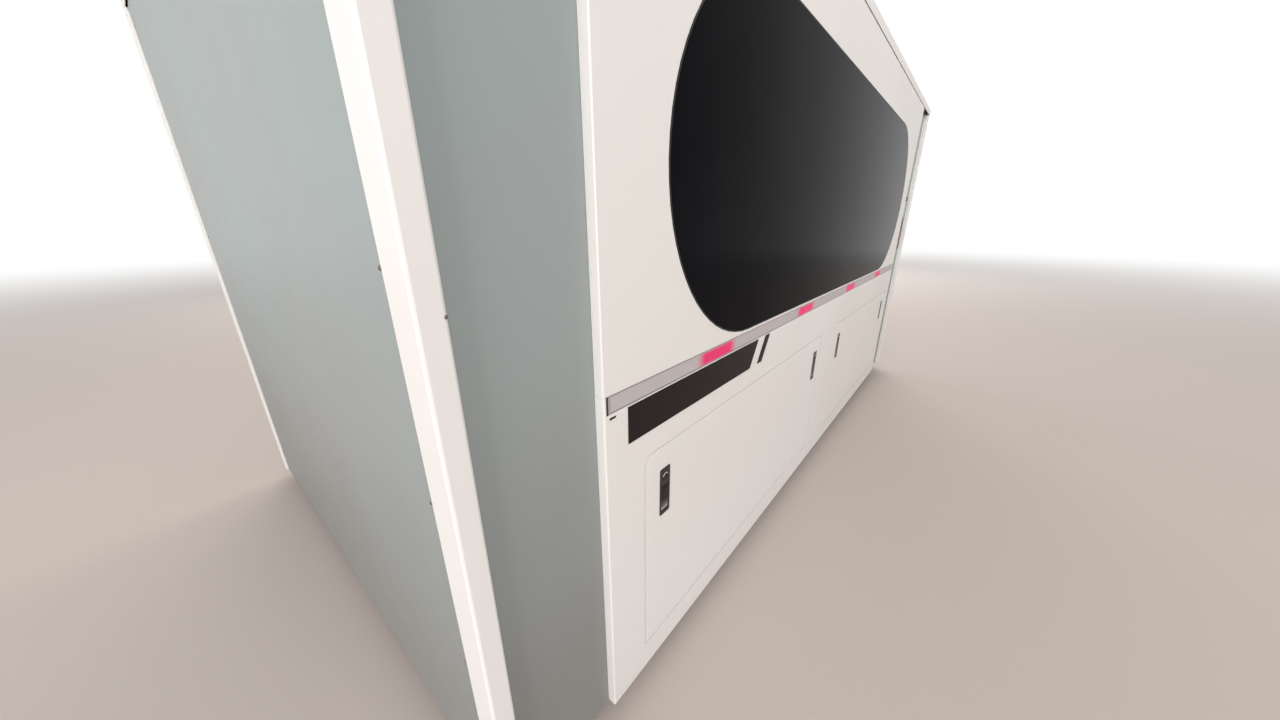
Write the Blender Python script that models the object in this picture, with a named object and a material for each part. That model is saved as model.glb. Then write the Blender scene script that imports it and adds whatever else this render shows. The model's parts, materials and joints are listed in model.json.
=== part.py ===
"""Fiber laser cutting machine: a fully enclosed flat-bed cutter with one slat table.

Metres, +Z up. The origin is on the floor under the middle of the machine, the window side looks
towards -Y and the long side runs along X.
"""

import math

import bmesh
import bpy

for old in list(bpy.data.objects):
    bpy.data.objects.remove(old)

# Whole machine: the sheet that it cuts, and the room round it
sheet_length = 3.000
sheet_width = 1.500
left_room = 0.430
parking_room = 0.450
service_room = 0.380
module_count = 2
column_width = 0.295
body_height = 2.170
floor_clearance = 0.070
seat_gap = 0.0003
door_gap = 0.003
overrun = 0.010
merge_distance = 0.00001

# Corner posts
post_width = 0.045
post_depth = 0.083
post_wall = 0.003
post_fold = 0.005

# Grey walls and roof
wall_sheet = 0.003
wall_depth = 0.040
end_wall_recess = 0.008
roof_height = 0.040
roof_overhang = 0.003
duct_radius = 0.150
duct_height = 0.090
duct_end_inset = 0.900
duct_side_inset = 0.450

# White cladding on the window side
cladding_return = 0.027
cladding_sheet = 0.0025
cladding_fold = 0.003

# Window
window_inset = 0.227
window_head = 0.221
window_lip = 0.016
window_proud = 0.003
pane_thickness = 0.008
pane_bevel = 0.0015
seal_width = 0.005
seal_lip = 0.014
seal_lap = 0.006
seal_back = 0.004
seal_proud = 0.0015

# Status light across the front
light_width = 0.044
light_end_tab = 0.009
channel_depth = 0.024
channel_wall = 0.002
channel_end = 0.012
channel_setback = 0.0005
diffuser_depth = 0.006
diffuser_crown = 0.0015

# Black inlays under the light
inlay_inset = 0.077
inlay_top_length = 0.718
inlay_height = 0.097
inlay_slant = 0.057
inlay_thickness = 0.0025
inlay_bevel = 0.0005
inlay_margin = 0.003
inlay_rise = 0.074
bar_spacing = 0.066
bar_width = 0.036
finger_slot_inset = 0.016
finger_slot_length = 0.024
finger_slot_height = 0.007
finger_slot_drop = 0.011

# Access doors and their latches
door_side_margin = 0.1425
door_height = 0.675
door_rise = 0.099
door_corner = 0.030
hinge_corner = 0.003
door_depth = 0.025
door_sheet = 0.002
door_lip = 0.012
hinge_inset = 0.005
hinge_rod_radius = 0.002
hinge_clearance = 0.0004
rod_stub = 0.001
latch_side = 0.087
latch_drop = 0.149
latch_width = 0.048
latch_height = 0.156
latch_corner = 0.006
latch_proud = 0.0015
latch_bevel = 0.001
latch_box_inset = 0.004
latch_box_depth = 0.018
latch_pocket_width = 0.034
latch_pocket_height = 0.088
latch_pocket_rise = 0.012
latch_pocket_depth = 0.010
key_radius = 0.0125
key_ring_wall = 0.003
key_ring_height = 0.0012
key_drop = 0.029
paddle_thickness = 0.007
paddle_clearance = 0.0006
paddle_crown = 0.0015
paddle_crown_shares = (0.8, 0.3)

# Machine bed
bed_setback = 0.180
bed_top = 1.040
bed_bottom = 0.080
bed_side_depth = 0.140
bed_wall = 0.010
bed_window_drop = 0.320
bed_window_corner = 0.090
bed_window_steps = 3
cross_beam_count = 4
cross_beam_inset = 0.100
cross_beam_width = 0.080
cross_beam_height = 0.100
beam_sheet = 0.006
base_beam_width = 0.120
base_beam_height = 0.070
base_beam_inset = 0.120
runner_width = 0.050
runner_inset = 0.120
foot_pad_radius = 0.050
foot_pad_height = 0.014
foot_pad_edge_share = 0.6
foot_pad_crown_share = 0.8
foot_neck_radius = 0.020
foot_neck_height = 0.011
foot_neck_taper_share = 0.8
foot_stud_radius = 0.012
foot_nut_radius = 0.019
foot_nut_height = 0.012
foot_inset = 0.100
foot_steps = 14

# Slag drawers
drawer_side_clearance = 0.050
drawer_rear_gap = 0.110
drawer_height = 0.240
drawer_sheet = 0.003
drawer_taper = 0.020
drawer_rim = 0.018
drawer_setback = 0.012

# Slat table
table_margin = 0.050
table_side_gap = 0.060
table_drop = 0.185
table_tube_width = 0.050
table_tube_height = 0.080
slat_pitch = 0.150
slat_thickness = 0.004
slat_height = 0.085
slat_bury = 0.006
slat_step = 0.030
tooth_pitch = 0.100
tooth_height = 0.030

# Guides, gantry and cutting head
rail_width = 0.028
rail_height = 0.028
rail_waist = 0.004
rail_waist_shares = (1 / 3, 1 / 2, 2 / 3, 3 / 4)
rail_start = 0.080
rail_stop = 0.020
guide_clearance = 0.0005
truck_length = 0.340
truck_width = 0.090
truck_height = 0.095
truck_lift = 0.005
beam_width = 0.200
beam_height = 0.220
beam_end_margin = 0.015
beam_wall = 0.008
beam_chamfer = 0.020
cross_rail_size = 0.020
cross_rail_spread = 0.150
carriage_length = 0.210
carriage_height = 0.230
carriage_thickness = 0.036
drive_motor_size = 0.060
drive_motor_height = 0.125
carriage_motor_size = 0.046
carriage_motor_height = 0.110
motor_neck_height = 0.014
motor_neck_share = 0.75
lift_rail_width = 0.060
lift_rail_depth = 0.018
slide_width = 0.130
slide_length = 0.330
slide_thickness = 0.034
head_offset = 0.250
head_radius = 0.045
head_length = 0.360
head_cone_share = 0.6
head_crown_share = 0.7
head_plug_radius = 0.016
head_plug_height = 0.042
nozzle_radius = 0.006
nozzle_body_radius = 0.012
nozzle_length = 0.070
nozzle_shares = (0.25, 0.45, 0.70)
clamp_wall = 0.012
clamp_height = 0.070
head_travel = 0.120
head_standoff = 0.010

# Loading side at the back
loading_side_inset = 0.365
loading_sill = 0.010
loading_head = 0.180
loading_corner = 0.040
track_wall = 0.004
track_lip = 0.014
track_base = 0.006
track_clearance = 0.0004
track_lap = 0.002
sliding_door_depth = 0.028
sliding_door_sheet = 0.0025
sliding_door_lap = 0.040
sliding_door_fold = 0.003
sliding_window_margin = 0.230
sliding_window_sill = 0.260
sliding_window_corner = 0.060
sliding_pane = 0.005
sliding_pane_lap = 0.018
pull_width = 0.040
pull_height = 0.160
pull_depth = 0.018
pull_bezel = 0.006
pull_bezel_thickness = 0.0015
pull_wall = 0.0015
pull_inset = 0.085
pull_rise = 0.258

# Service end
bulkhead_depth = 0.030
service_door_width = 0.860
service_door_low = 0.260
service_door_head = 0.220
vent_length = 0.400
vent_height = 0.008
vent_pitch = 0.024
vent_count = 5
vent_margin = 0.140
cabinet_width = 0.700
cabinet_head = 0.320
cabinet_depth = 0.210
cabinet_wall = 0.004
equipment_gap = 0.200
breaker_row_pitch = 0.250
breaker_row_height = 0.085
breaker_row_depth = 0.060
breaker_margin = 0.060
breaker_pitch = 0.060
breaker_gap = 0.006
source_width = 0.560
source_height = 0.620
source_depth = 0.270
source_low = 0.300
source_corner = 0.020
source_fin_pitch = 0.040
source_fin_gap = 0.014
source_fin_depth = 0.012
source_fin_margin = 0.080

# Operator panel
panel_width = 0.240
panel_height = 0.430
panel_rise = 1.180
panel_corner = 0.012
panel_thickness = 0.004
panel_back_inset = 0.012
panel_back_depth = 0.030
panel_fit = 0.0005
button_lift = 0.001
screen_width = 0.200
screen_height = 0.150
screen_drop = 0.030
screen_corner = 0.006
screen_thickness = 0.0025
screen_recess = 0.003
button_rise = 0.105
button_spread = 0.060
stop_head_radius = 0.020
stop_head_height = 0.015
stop_travel = 0.005
stem_radius = 0.0085
stem_length = 0.020
start_head_radius = 0.0125
start_head_height = 0.006
start_travel = 0.003
button_crown_share = 0.8

# Smoothness of the round forms
corner_steps = 4
window_steps = 16
fold_steps = 2
turned_steps = 20
rod_steps = 10
sharp_angle = math.radians(35)

# Places that follow from the sizes
half_length = (left_room + sheet_length + parking_room + service_room) / 2
half_cladding = half_length - post_width - column_width
module_pitch = 2 * half_cladding / module_count
body_depth = sheet_width + 2 * (table_margin + table_side_gap + bed_side_depth + bed_setback)
wall_half_length = half_length - post_width - seat_gap
front_y = -body_depth / 2
rear_y = body_depth / 2
wall_y = front_y + cladding_return
base_z = floor_clearance
top_z = base_z + body_height
door_length = module_pitch - 2 * door_side_margin
door_low = base_z + door_rise
door_high = door_low + door_height
light_low = door_high + inlay_rise + inlay_height + inlay_margin
light_high = light_low + light_width
window_low = light_high + window_lip
window_high = top_z - window_head
window_half = half_cladding - window_inset
module_centres = [module_pitch * (index + 1 / 2) - half_cladding for index in range(module_count)]
bed_length = 2 * (half_length - bed_setback)
bed_face_y = bed_setback - body_depth / 2
rail_offset = -bed_face_y - bed_side_depth / 2
work_start_x = left_room - half_length
table_low_x = work_start_x - table_margin
table_high_x = work_start_x + sheet_length + table_margin
table_half_width = sheet_width / 2 + table_margin
runner_top = door_low + door_lip + door_gap
drawer_bottom = runner_top + seat_gap
cross_beam_top = bed_top - table_drop - seat_gap
table_bottom = cross_beam_top + seat_gap
table_top = table_bottom + table_tube_height
slat_low = table_top - slat_height + slat_step
slat_top = slat_low + slat_height
rail_top = bed_top + seat_gap + rail_height
bulkhead_x = half_length - service_room
gantry_x = work_start_x + sheet_length + head_offset
truck_top = bed_top + truck_lift + truck_height
beam_low = truck_top - seat_gap
beam_length = 2 * rail_offset + truck_width + 2 * beam_end_margin
beam_mid_z = beam_low + beam_height / 2
cross_rail_face = -beam_width / 2 - cross_rail_size
carriage_face = cross_rail_face - carriage_thickness
lift_rail_face = carriage_face - lift_rail_depth
slide_face = carriage_face - seat_gap - slide_thickness
nozzle_tip_z = slat_top + head_standoff + head_travel
head_top_z = nozzle_tip_z + nozzle_length + head_length
outer_track_y = rear_y - wall_depth - track_wall - track_clearance
inner_track_y = outer_track_y - sliding_door_depth - track_wall - 2 * track_clearance
loading_half = half_length - loading_side_inset
loading_low = bed_top + loading_sill
loading_high = top_z - loading_head
service_door_height = top_z - service_door_head - service_door_low
cabinet_low = source_low + source_height + equipment_gap
cabinet_height = top_z - cabinet_head - cabinet_low

# Ways that a panel can look: the face is drawn looking towards -Y and then turned
to_front = (0, 0, 0)
to_right = (0, 0, math.radians(90))
to_rear = (0, 0, math.radians(180))
to_left = (0, 0, math.radians(-90))
to_top = (math.radians(-90), 0, 0)


def finish(name, colour, roughness, metallic=0.0):
    """A Principled material of one colour."""
    material = bpy.data.materials.new(name)
    material.use_nodes = True
    shader = material.node_tree.nodes["Principled BSDF"]
    shader.inputs["Base Color"].default_value = (*colour, 1.0)
    shader.inputs["Roughness"].default_value = roughness
    shader.inputs["Metallic"].default_value = metallic
    material.diffuse_color = (*colour, 1.0)
    return material


def rectangle(low_u, low_v, high_u, high_v):
    """Corners of a rectangle, counterclockwise."""
    return [(low_u, low_v), (high_u, low_v), (high_u, high_v), (low_u, high_v)]


def rounded(low_u, low_v, high_u, high_v, radius, steps=corner_steps):
    """Rectangle with quarter-circle corners; a radius of half the height gives a stadium.

    Four radii go counterclockwise from the lower corner at high_u.
    """
    radii = radius if isinstance(radius, tuple) else (radius,) * 4
    corners = ((high_u, low_v, -1, 1, -90), (high_u, high_v, -1, -1, 0),
               (low_u, high_v, 1, -1, 90), (low_u, low_v, 1, 1, 180))
    points = []
    for (corner_u, corner_v, side_u, side_v, start), reach in zip(corners, radii):
        for step in range(steps + 1):
            turn = math.radians(start + 90 * step / steps)
            point = (corner_u + reach * (side_u + math.cos(turn)),
                     corner_v + reach * (side_v + math.sin(turn)))
            if not points or math.dist(point, points[-1]) > merge_distance:
                points.append(point)
    if math.dist(points[0], points[-1]) < merge_distance:
        points.pop()
    return points


def circle(centre_u, centre_v, radius, steps=turned_steps):
    """Points round a circle."""
    turns = [2 * math.pi * step / steps for step in range(steps)]
    return [(centre_u + radius * math.cos(turn), centre_v + radius * math.sin(turn)) for turn in turns]


def offset(points, distance):
    """A counterclockwise outline grown by distance, or shrunk where it is negative."""
    moved = []
    count = len(points)
    for index in range(count):
        before, here, after = points[index - 1], points[index], points[(index + 1) % count]
        length_in = math.dist(before, here)
        length_out = math.dist(here, after)
        normal_in = ((here[1] - before[1]) / length_in, (before[0] - here[0]) / length_in)
        normal_out = ((after[1] - here[1]) / length_out, (here[0] - after[0]) / length_out)
        spread = 1 + normal_in[0] * normal_out[0] + normal_in[1] * normal_out[1]
        moved.append((
            here[0] + distance * (normal_in[0] + normal_out[0]) / spread,
            here[1] + distance * (normal_in[1] + normal_out[1]) / spread,
        ))
    return moved


def ring(mesh, points, depth, axis="Y"):
    """A loop of vertices for an outline, at a place along the axis that it is drawn across."""
    if axis == "X":
        return [mesh.verts.new((depth, u, v)) for u, v in points]
    if axis == "Z":
        return [mesh.verts.new((u, v, depth)) for u, v in points]
    return [mesh.verts.new((u, depth, v)) for u, v in points]


def join(mesh, rings):
    """Walls between loops that follow each other."""
    for first, second in zip(rings, rings[1:]):
        for index in range(len(first)):
            mesh.faces.new((first[index - 1], first[index], second[index], second[index - 1]))


def cap(mesh, rings):
    """A flat face inside the first loop and outside the others."""
    if len(rings) == 1:
        mesh.faces.new(rings[0])
        return
    edges = [mesh.edges.get((loop[index - 1], loop[index]))
             for loop in rings for index in range(len(loop))]
    bmesh.ops.triangle_fill(mesh, edges=edges, use_beauty=True, use_dissolve=False)


def loft(layers, axis="Y"):
    """A solid through outlines of one point count, each a pair of points and depth."""
    mesh = bmesh.new()
    rings = [ring(mesh, points, depth, axis) for points, depth in layers]
    join(mesh, rings)
    cap(mesh, rings[:1])
    cap(mesh, rings[-1:])
    return mesh


def prism(points, low, high, axis="Y"):
    """An outline drawn out along one axis."""
    return loft([(points, low), (points, high)], axis)


def tube(points, wall, low, high, axis="Z"):
    """A hollow section, open at both ends."""
    mesh = bmesh.new()
    inner = offset(points, -wall)
    rings = [ring(mesh, shape, place, axis)
             for shape, place in ((points, low), (points, high), (inner, high), (inner, low))]
    join(mesh, rings + rings[:1])
    return mesh


def bevelled_plate(points, low, high, bevel, axis="Y"):
    """A plate whose face at low has a small bevel round it."""
    return loft([(offset(points, -bevel), low), (points, low + bevel), (points, high)], axis)


def folded_panel(outline, sheet, depth, flanged=(), plain=(), pressings=(), fold=0.0):
    """A sheet-metal panel: face at depth 0, folded back along its edge and round flanged openings.

    A plain opening is only cut. A pressing is an outline and how deep it is pressed in.
    """
    mesh = bmesh.new()
    inner = offset(outline, -sheet)
    layers = [(outline, 0)]
    if fold:
        turns = [math.pi / 2 * step / fold_steps for step in range(fold_steps + 1)]
        layers = [(offset(outline, fold * (math.sin(turn) - 1)), fold * (1 - math.cos(turn)))
                  for turn in turns]
    layers += [(outline, depth), (inner, depth), (inner, sheet)]
    shapes = [layers]
    for opening in flanged:
        wider = offset(opening, sheet)
        shapes.append([(opening, 0), (opening, depth), (wider, depth), (wider, sheet)])
    shapes += [[(opening, 0), (opening, sheet)] for opening in plain]
    faces, floors = [], []
    for layers in shapes:
        rings = [ring(mesh, points, place) for points, place in layers]
        join(mesh, rings)
        faces.append(rings[0])
        floors.append(rings[-1])
    for shape, press in pressings:
        wider = offset(shape, sheet)
        for side, points, places in ((faces, shape, (0, press)), (floors, wider, (sheet, press + sheet))):
            rings = [ring(mesh, points, place) for place in places]
            join(mesh, rings)
            side.append(rings[0])
            cap(mesh, rings[1:])
    cap(mesh, faces)
    cap(mesh, floors)
    return mesh


def housing(layers, details):
    """A solid through layers whose first face carries details: pockets, bosses or blocks.

    A detail is a list of layers too. It starts on that face and ends in a flat face of its own.
    """
    mesh = bmesh.new()
    rings = [ring(mesh, points, depth) for points, depth in layers]
    join(mesh, rings)
    cap(mesh, rings[-1:])
    faces = rings[:1]
    for detail in details:
        rings = [ring(mesh, points, depth) for points, depth in detail]
        join(mesh, rings)
        faces.append(rings[0])
        cap(mesh, rings[-1:])
    cap(mesh, faces)
    return mesh


def turned(profile, steps=turned_steps):
    """A solid of revolution about Z from radius and height pairs that start and end on the axis."""
    mesh = bmesh.new()
    verts = [mesh.verts.new((radius, 0, height)) for radius, height in profile]
    edges = [mesh.edges.new(pair) for pair in zip(verts, verts[1:])]
    bmesh.ops.spin(mesh, geom=verts + edges, axis=(0, 0, 1), cent=(0, 0, 0), angle=2 * math.pi, steps=steps)
    bmesh.ops.remove_doubles(mesh, verts=mesh.verts, dist=merge_distance)
    return mesh


def solid(name, mesh, material, place=(0, 0, 0), facing=to_front):
    """An object made of a finished mesh, with its origin at place."""
    bmesh.ops.recalc_face_normals(mesh, faces=mesh.faces)
    data = bpy.data.meshes.new(name)
    mesh.to_mesh(data)
    mesh.free()
    data.shade_smooth()
    data.set_sharp_from_angle(angle=sharp_angle)
    data.materials.append(material)
    made = bpy.data.objects.new(name, data)
    bpy.context.scene.collection.objects.link(made)
    made.location = place
    made.rotation_euler = facing
    return made


def combine(target, other, operation):
    """Cuts other out of target, or welds it on; other stays as a hidden guide."""
    other.hide_render = True
    other.display_type = "WIRE"
    step = target.modifiers.new(other.name, "BOOLEAN")
    step.operation = operation
    step.solver = "EXACT"
    step.object = other


def carry(parent, *children):
    """Lets pieces follow the one that carries them, where they stand."""
    bpy.context.view_layer.update()
    for child in children:
        child.parent = parent
        child.matrix_parent_inverse = parent.matrix_world.inverted()


white_paint = finish("white_paint", (0.76, 0.71, 0.66), 0.38)
grey_paint = finish("grey_paint", (0.34, 0.37, 0.36), 0.45)
bed_paint = finish("bed_paint", (0.20, 0.22, 0.23), 0.55)
black_glass = finish("black_glass", (0.006, 0.006, 0.008), 0.05)
black_acrylic = finish("black_acrylic", (0.02, 0.017, 0.017), 0.25)
black_rubber = finish("black_rubber", (0.015, 0.015, 0.016), 0.7)
milky_plastic = finish("milky_plastic", (0.55, 0.50, 0.50), 0.4)
channel_metal = finish("channel_metal", (0.40, 0.38, 0.38), 0.4, 1.0)
latch_metal = finish("latch_metal", (0.05, 0.04, 0.04), 0.35, 0.6)
paddle_metal = finish("paddle_metal", (0.45, 0.43, 0.42), 0.25, 1.0)
bare_steel = finish("bare_steel", (0.42, 0.42, 0.43), 0.35, 1.0)
slat_steel = finish("slat_steel", (0.30, 0.27, 0.25), 0.6, 0.8)
galvanised = finish("galvanised", (0.50, 0.52, 0.54), 0.5, 1.0)
aluminium = finish("aluminium", (0.60, 0.61, 0.62), 0.4, 1.0)
dark_plastic = finish("dark_plastic", (0.03, 0.03, 0.035), 0.5)
stop_red = finish("stop_red", (0.55, 0.02, 0.02), 0.35)
start_green = finish("start_green", (0.02, 0.30, 0.08), 0.35)


def window_outline(grown=0.0):
    """The window's long shape with half-round ends."""
    radius = (window_high - window_low) / 2
    points = rounded(-window_half, window_low, window_half, window_high, radius, window_steps)
    return offset(points, grown) if grown else points


def door_outline(centre_x, grown=0.0):
    """An access door's outline: rounded at the top, and nearly square at the hinge below."""
    low, high = centre_x - door_length / 2, centre_x + door_length / 2
    radii = (hinge_corner, door_corner, door_corner, hinge_corner)
    points = rounded(low, door_low, high, door_high, radii)
    return offset(points, grown) if grown else points


def build_posts():
    """Four folded corner posts that stand full height."""
    for side, x in (("left", post_width / 2 - half_length), ("right", half_length - post_width / 2)):
        for end, y in (("front", front_y + post_depth / 2), ("rear", rear_y - post_depth / 2)):
            outline = rounded(-post_width / 2, -post_depth / 2, post_width / 2, post_depth / 2,
                              post_fold, fold_steps)
            mesh = tube(outline, post_wall, base_z, top_z)
            solid(f"corner_post_{end}_{side}", mesh, white_paint, (x, y, 0))


def build_front_wall():
    """The grey wall behind the cladding, with room for the window, the doors and the panel."""
    outline = rectangle(-wall_half_length, base_z, wall_half_length, top_z)
    window = rectangle(-window_half - window_lip, window_low - window_lip, window_half + window_lip,
                       window_high + window_lip)
    openings = [window, panel_outline(panel_fit - panel_back_inset)]
    reach = door_length / 2 - door_lip
    openings += [rectangle(centre - reach, door_low + door_lip, centre + reach, door_high - door_lip)
                 for centre in module_centres]
    mesh = folded_panel(outline, wall_sheet, wall_depth, plain=openings)
    solid("front_wall", mesh, grey_paint, (0, wall_y, 0))


def build_end_walls():
    """Grey end walls between the posts; the right one has the service opening."""
    half_width = body_depth / 2 - post_depth - seat_gap
    outline = rectangle(-half_width, base_z, half_width, top_z)
    depth = wall_depth - end_wall_recess
    mesh = folded_panel(outline, wall_sheet, depth)
    solid("end_wall_left", mesh, grey_paint, (end_wall_recess - half_length, 0, 0), to_left)
    mesh = folded_panel(outline, wall_sheet, depth, [service_outline(door_gap)])
    wall = solid("end_wall_right", mesh, grey_paint, (half_length - end_wall_recess, 0, 0), to_right)
    combine(wall, service_rod("service_rod_hole", hinge_clearance), "DIFFERENCE")


def build_roof():
    """Roof tray with a round duct spigot for the fumes."""
    half_y = body_depth / 2 + roof_overhang
    duct_x = half_length - duct_end_inset
    duct_y = half_y - duct_side_inset
    hole = circle(duct_x, duct_y, duct_radius - wall_sheet / 2)
    mesh = folded_panel(rectangle(-half_length, -half_y, half_length, half_y), wall_sheet,
                        roof_height - seat_gap, plain=[hole], fold=cladding_fold)
    roof = solid("roof", mesh, white_paint, (0, 0, top_z + roof_height), to_top)
    spigot = tube(circle(duct_x, duct_y, duct_radius), wall_sheet, top_z + roof_height - wall_sheet,
                  top_z + roof_height + duct_height)
    combine(roof, solid("duct_spigot", spigot, white_paint), "UNION")


def build_claddings():
    """White upper and lower claddings, parted by the status light."""
    depth = cladding_return - seat_gap
    outline = rectangle(-half_cladding, light_high, half_cladding, top_z)
    mesh = folded_panel(outline, cladding_sheet, depth, plain=[window_outline(seal_width)],
                        fold=cladding_fold)
    solid("upper_cladding", mesh, white_paint, (0, front_y, 0))

    inner = half_cladding - light_end_tab
    tab_top = light_high - seat_gap
    outline = [
        (-half_cladding, base_z), (half_cladding, base_z), (half_cladding, tab_top), (inner, tab_top),
        (inner, light_low), (-inner, light_low), (-inner, tab_top), (-half_cladding, tab_top),
    ]
    slot_x = finger_slot_inset - half_cladding
    slot_z = light_low - finger_slot_drop
    slot = rounded(slot_x, slot_z - finger_slot_height / 2, slot_x + finger_slot_length,
                   slot_z + finger_slot_height / 2, finger_slot_height / 2, fold_steps)
    doors = [door_outline(centre, door_gap) for centre in module_centres]
    mesh = folded_panel(outline, cladding_sheet, depth, doors, [slot], fold=cladding_fold)
    cladding = solid("lower_cladding", mesh, white_paint, (0, front_y, 0))
    for number, centre in enumerate(module_centres, 1):
        combine(cladding, door_rod(f"door_rod_hole_{number}", centre, hinge_clearance), "DIFFERENCE")


def build_window():
    """Dark laser-safe pane, bonded into a rubber seal that laps behind the sheet."""
    low = -window_proud
    pane = bevelled_plate(window_outline(), low, low + pane_thickness, pane_bevel)
    solid("window_pane", pane, black_glass, (0, front_y, 0))
    pane_back = low + pane_thickness + seat_gap
    sheet_back = cladding_sheet + seat_gap
    section = [
        (seat_gap, -seal_proud), (seat_gap, pane_back), (-seal_lip, pane_back),
        (-seal_lip, pane_back + seal_back), (seal_width + seal_lap, pane_back + seal_back),
        (seal_width + seal_lap, sheet_back), (seal_width - seat_gap, sheet_back),
        (seal_width - seat_gap, -seal_proud),
    ]
    mesh = bmesh.new()
    rings = [ring(mesh, window_outline(grown), depth) for grown, depth in section]
    join(mesh, rings + rings[:1])
    solid("window_seal", mesh, black_rubber, (0, front_y, 0))


def build_status_light():
    """Channel between the claddings, with a milky cover that the lamps shine through."""
    half = half_cladding - light_end_tab - seat_gap
    outline = rectangle(-half, light_low + seat_gap, half, light_high - seat_gap)
    cavity = rectangle(channel_end - half, light_low + seat_gap + channel_wall, half - channel_end,
                       light_high - seat_gap - channel_wall)
    floor = channel_depth - channel_wall
    mesh = loft([(outline, channel_depth), (outline, channel_setback), (cavity, channel_setback),
                 (cavity, floor)])
    solid("light_channel", mesh, channel_metal, (0, front_y, 0))

    cover = offset(cavity, -seat_gap)
    crowned = offset(cover, -diffuser_crown)
    ledge = offset(cover, -diffuser_depth)
    layers = [(crowned, channel_setback), (cover, channel_setback + diffuser_crown),
              (cover, floor - seat_gap), (ledge, floor - seat_gap), (ledge, diffuser_depth)]
    solid("light_diffuser", loft(layers), milky_plastic, (0, front_y, 0))


def build_inlays():
    """Black acrylic plate and bar under the light, with slanted ends."""
    start = inlay_inset - half_cladding
    high = light_low - inlay_margin
    low = high - inlay_height
    end = start + inlay_top_length
    plate = [(start, low), (end - inlay_slant, low), (end, high), (start, high)]
    bar_start = end + bar_spacing
    bar_end = bar_start + bar_width
    bar = [(bar_start - inlay_slant, low), (bar_end - inlay_slant, low), (bar_end, high),
           (bar_start, high)]
    place = (0, front_y - inlay_thickness - seat_gap, 0)
    for name, outline in (("inlay_plate", plate), ("inlay_bar", bar)):
        solid(name, bevelled_plate(outline, 0, inlay_thickness, inlay_bevel), black_acrylic, place)


def door_rod(name, centre_x, grown=0.0):
    """The long hinge rod in an access door's lower fold, or the hole for it where it is grown."""
    reach = door_length / 2 + door_gap + cladding_sheet + rod_stub + grown
    outline = circle(front_y + hinge_inset, door_low + hinge_inset, hinge_rod_radius + grown, rod_steps)
    return solid(name, prism(outline, centre_x - reach, centre_x + reach, "X"), bare_steel)


def build_access_doors():
    """Drop-down doors to the slag drawers, hinged on a rod in the lower fold, with two latches each."""
    for side, centre in zip(("left", "right"), module_centres):
        outline = [(u - centre, v - door_low - hinge_inset) for u, v in door_outline(centre)]
        latch_places = [(end * (door_length / 2 - latch_side), door_height - latch_drop - hinge_inset)
                        for end in (-1, 1)]
        cutouts = [latch_outline(u, v, door_gap / 2 - latch_box_inset) for u, v in latch_places]
        mesh = folded_panel(outline, door_sheet, door_depth, plain=cutouts, fold=door_sheet)
        mesh_place = (centre, front_y + hinge_inset, door_low + hinge_inset)
        bmesh.ops.translate(mesh, verts=mesh.verts, vec=(0, -hinge_inset, 0))
        door = solid(f"access_door_{side}", mesh, white_paint, mesh_place)
        combine(door, door_rod(f"door_bore_{side}", centre, hinge_clearance), "DIFFERENCE")
        door_rod(f"door_rod_{side}", centre)
        for end, (u, v) in zip(("left", "right"), latch_places):
            carry(door, *build_latch(f"{side}_{end}", centre + u, door_low + hinge_inset + v))


def latch_outline(centre_u, centre_v, grown=0.0):
    """A latch plate's outline."""
    points = rounded(centre_u - latch_width / 2, centre_v - latch_height / 2, centre_u + latch_width / 2,
                     centre_v + latch_height / 2, latch_corner, fold_steps)
    return offset(points, grown) if grown else points


def build_latch(label, centre_x, centre_z):
    """Flush paddle latch: a dark body with a key ring above and a bright paddle in its pocket."""
    pocket_low = -latch_height / 2 + latch_pocket_rise
    pocket_high = pocket_low + latch_pocket_height
    pocket = rectangle(-latch_pocket_width / 2, pocket_low, latch_pocket_width / 2, pocket_high)
    face = -latch_proud
    pocket_walls = [(pocket, face), (pocket, face + latch_pocket_depth)]
    key_z = latch_height / 2 - key_drop
    outer = circle(0, key_z, key_radius, turned_steps // 2)
    middle = circle(0, key_z, key_radius - key_ring_wall, turned_steps // 2)
    key_ring = [(outer, face), (outer, face - key_ring_height), (middle, face - key_ring_height),
                (middle, face)]
    plate = latch_outline(0, 0)
    box = offset(plate, -latch_box_inset)
    layers = [(offset(plate, -latch_bevel), face), (plate, face + latch_bevel), (plate, -seat_gap),
              (box, -seat_gap), (box, latch_box_depth)]
    mesh = housing(layers, (pocket_walls, key_ring))
    body = solid(f"latch_body_{label}", mesh, latch_metal, (centre_x, front_y, centre_z))

    half_thickness = paddle_thickness / 2
    axis_y = front_y + face + half_thickness + paddle_crown
    axis_z = centre_z + pocket_low + half_thickness + paddle_clearance
    reach = latch_pocket_height - half_thickness - 2 * paddle_clearance
    heel = [(half_thickness * math.cos(turn), half_thickness * math.sin(turn))
            for turn in (math.pi * (1 + step / corner_steps) for step in range(corner_steps + 1))]
    profile = heel + [(half_thickness, reach), (-half_thickness, reach)]
    profile += [(-half_thickness - paddle_crown, reach * share) for share in paddle_crown_shares]
    half_width = latch_pocket_width / 2 - paddle_clearance
    paddle = solid(f"latch_paddle_{label}", prism(profile, -half_width, half_width, "X"), paddle_metal,
                   (centre_x, axis_y, axis_z))
    return body, paddle


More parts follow.
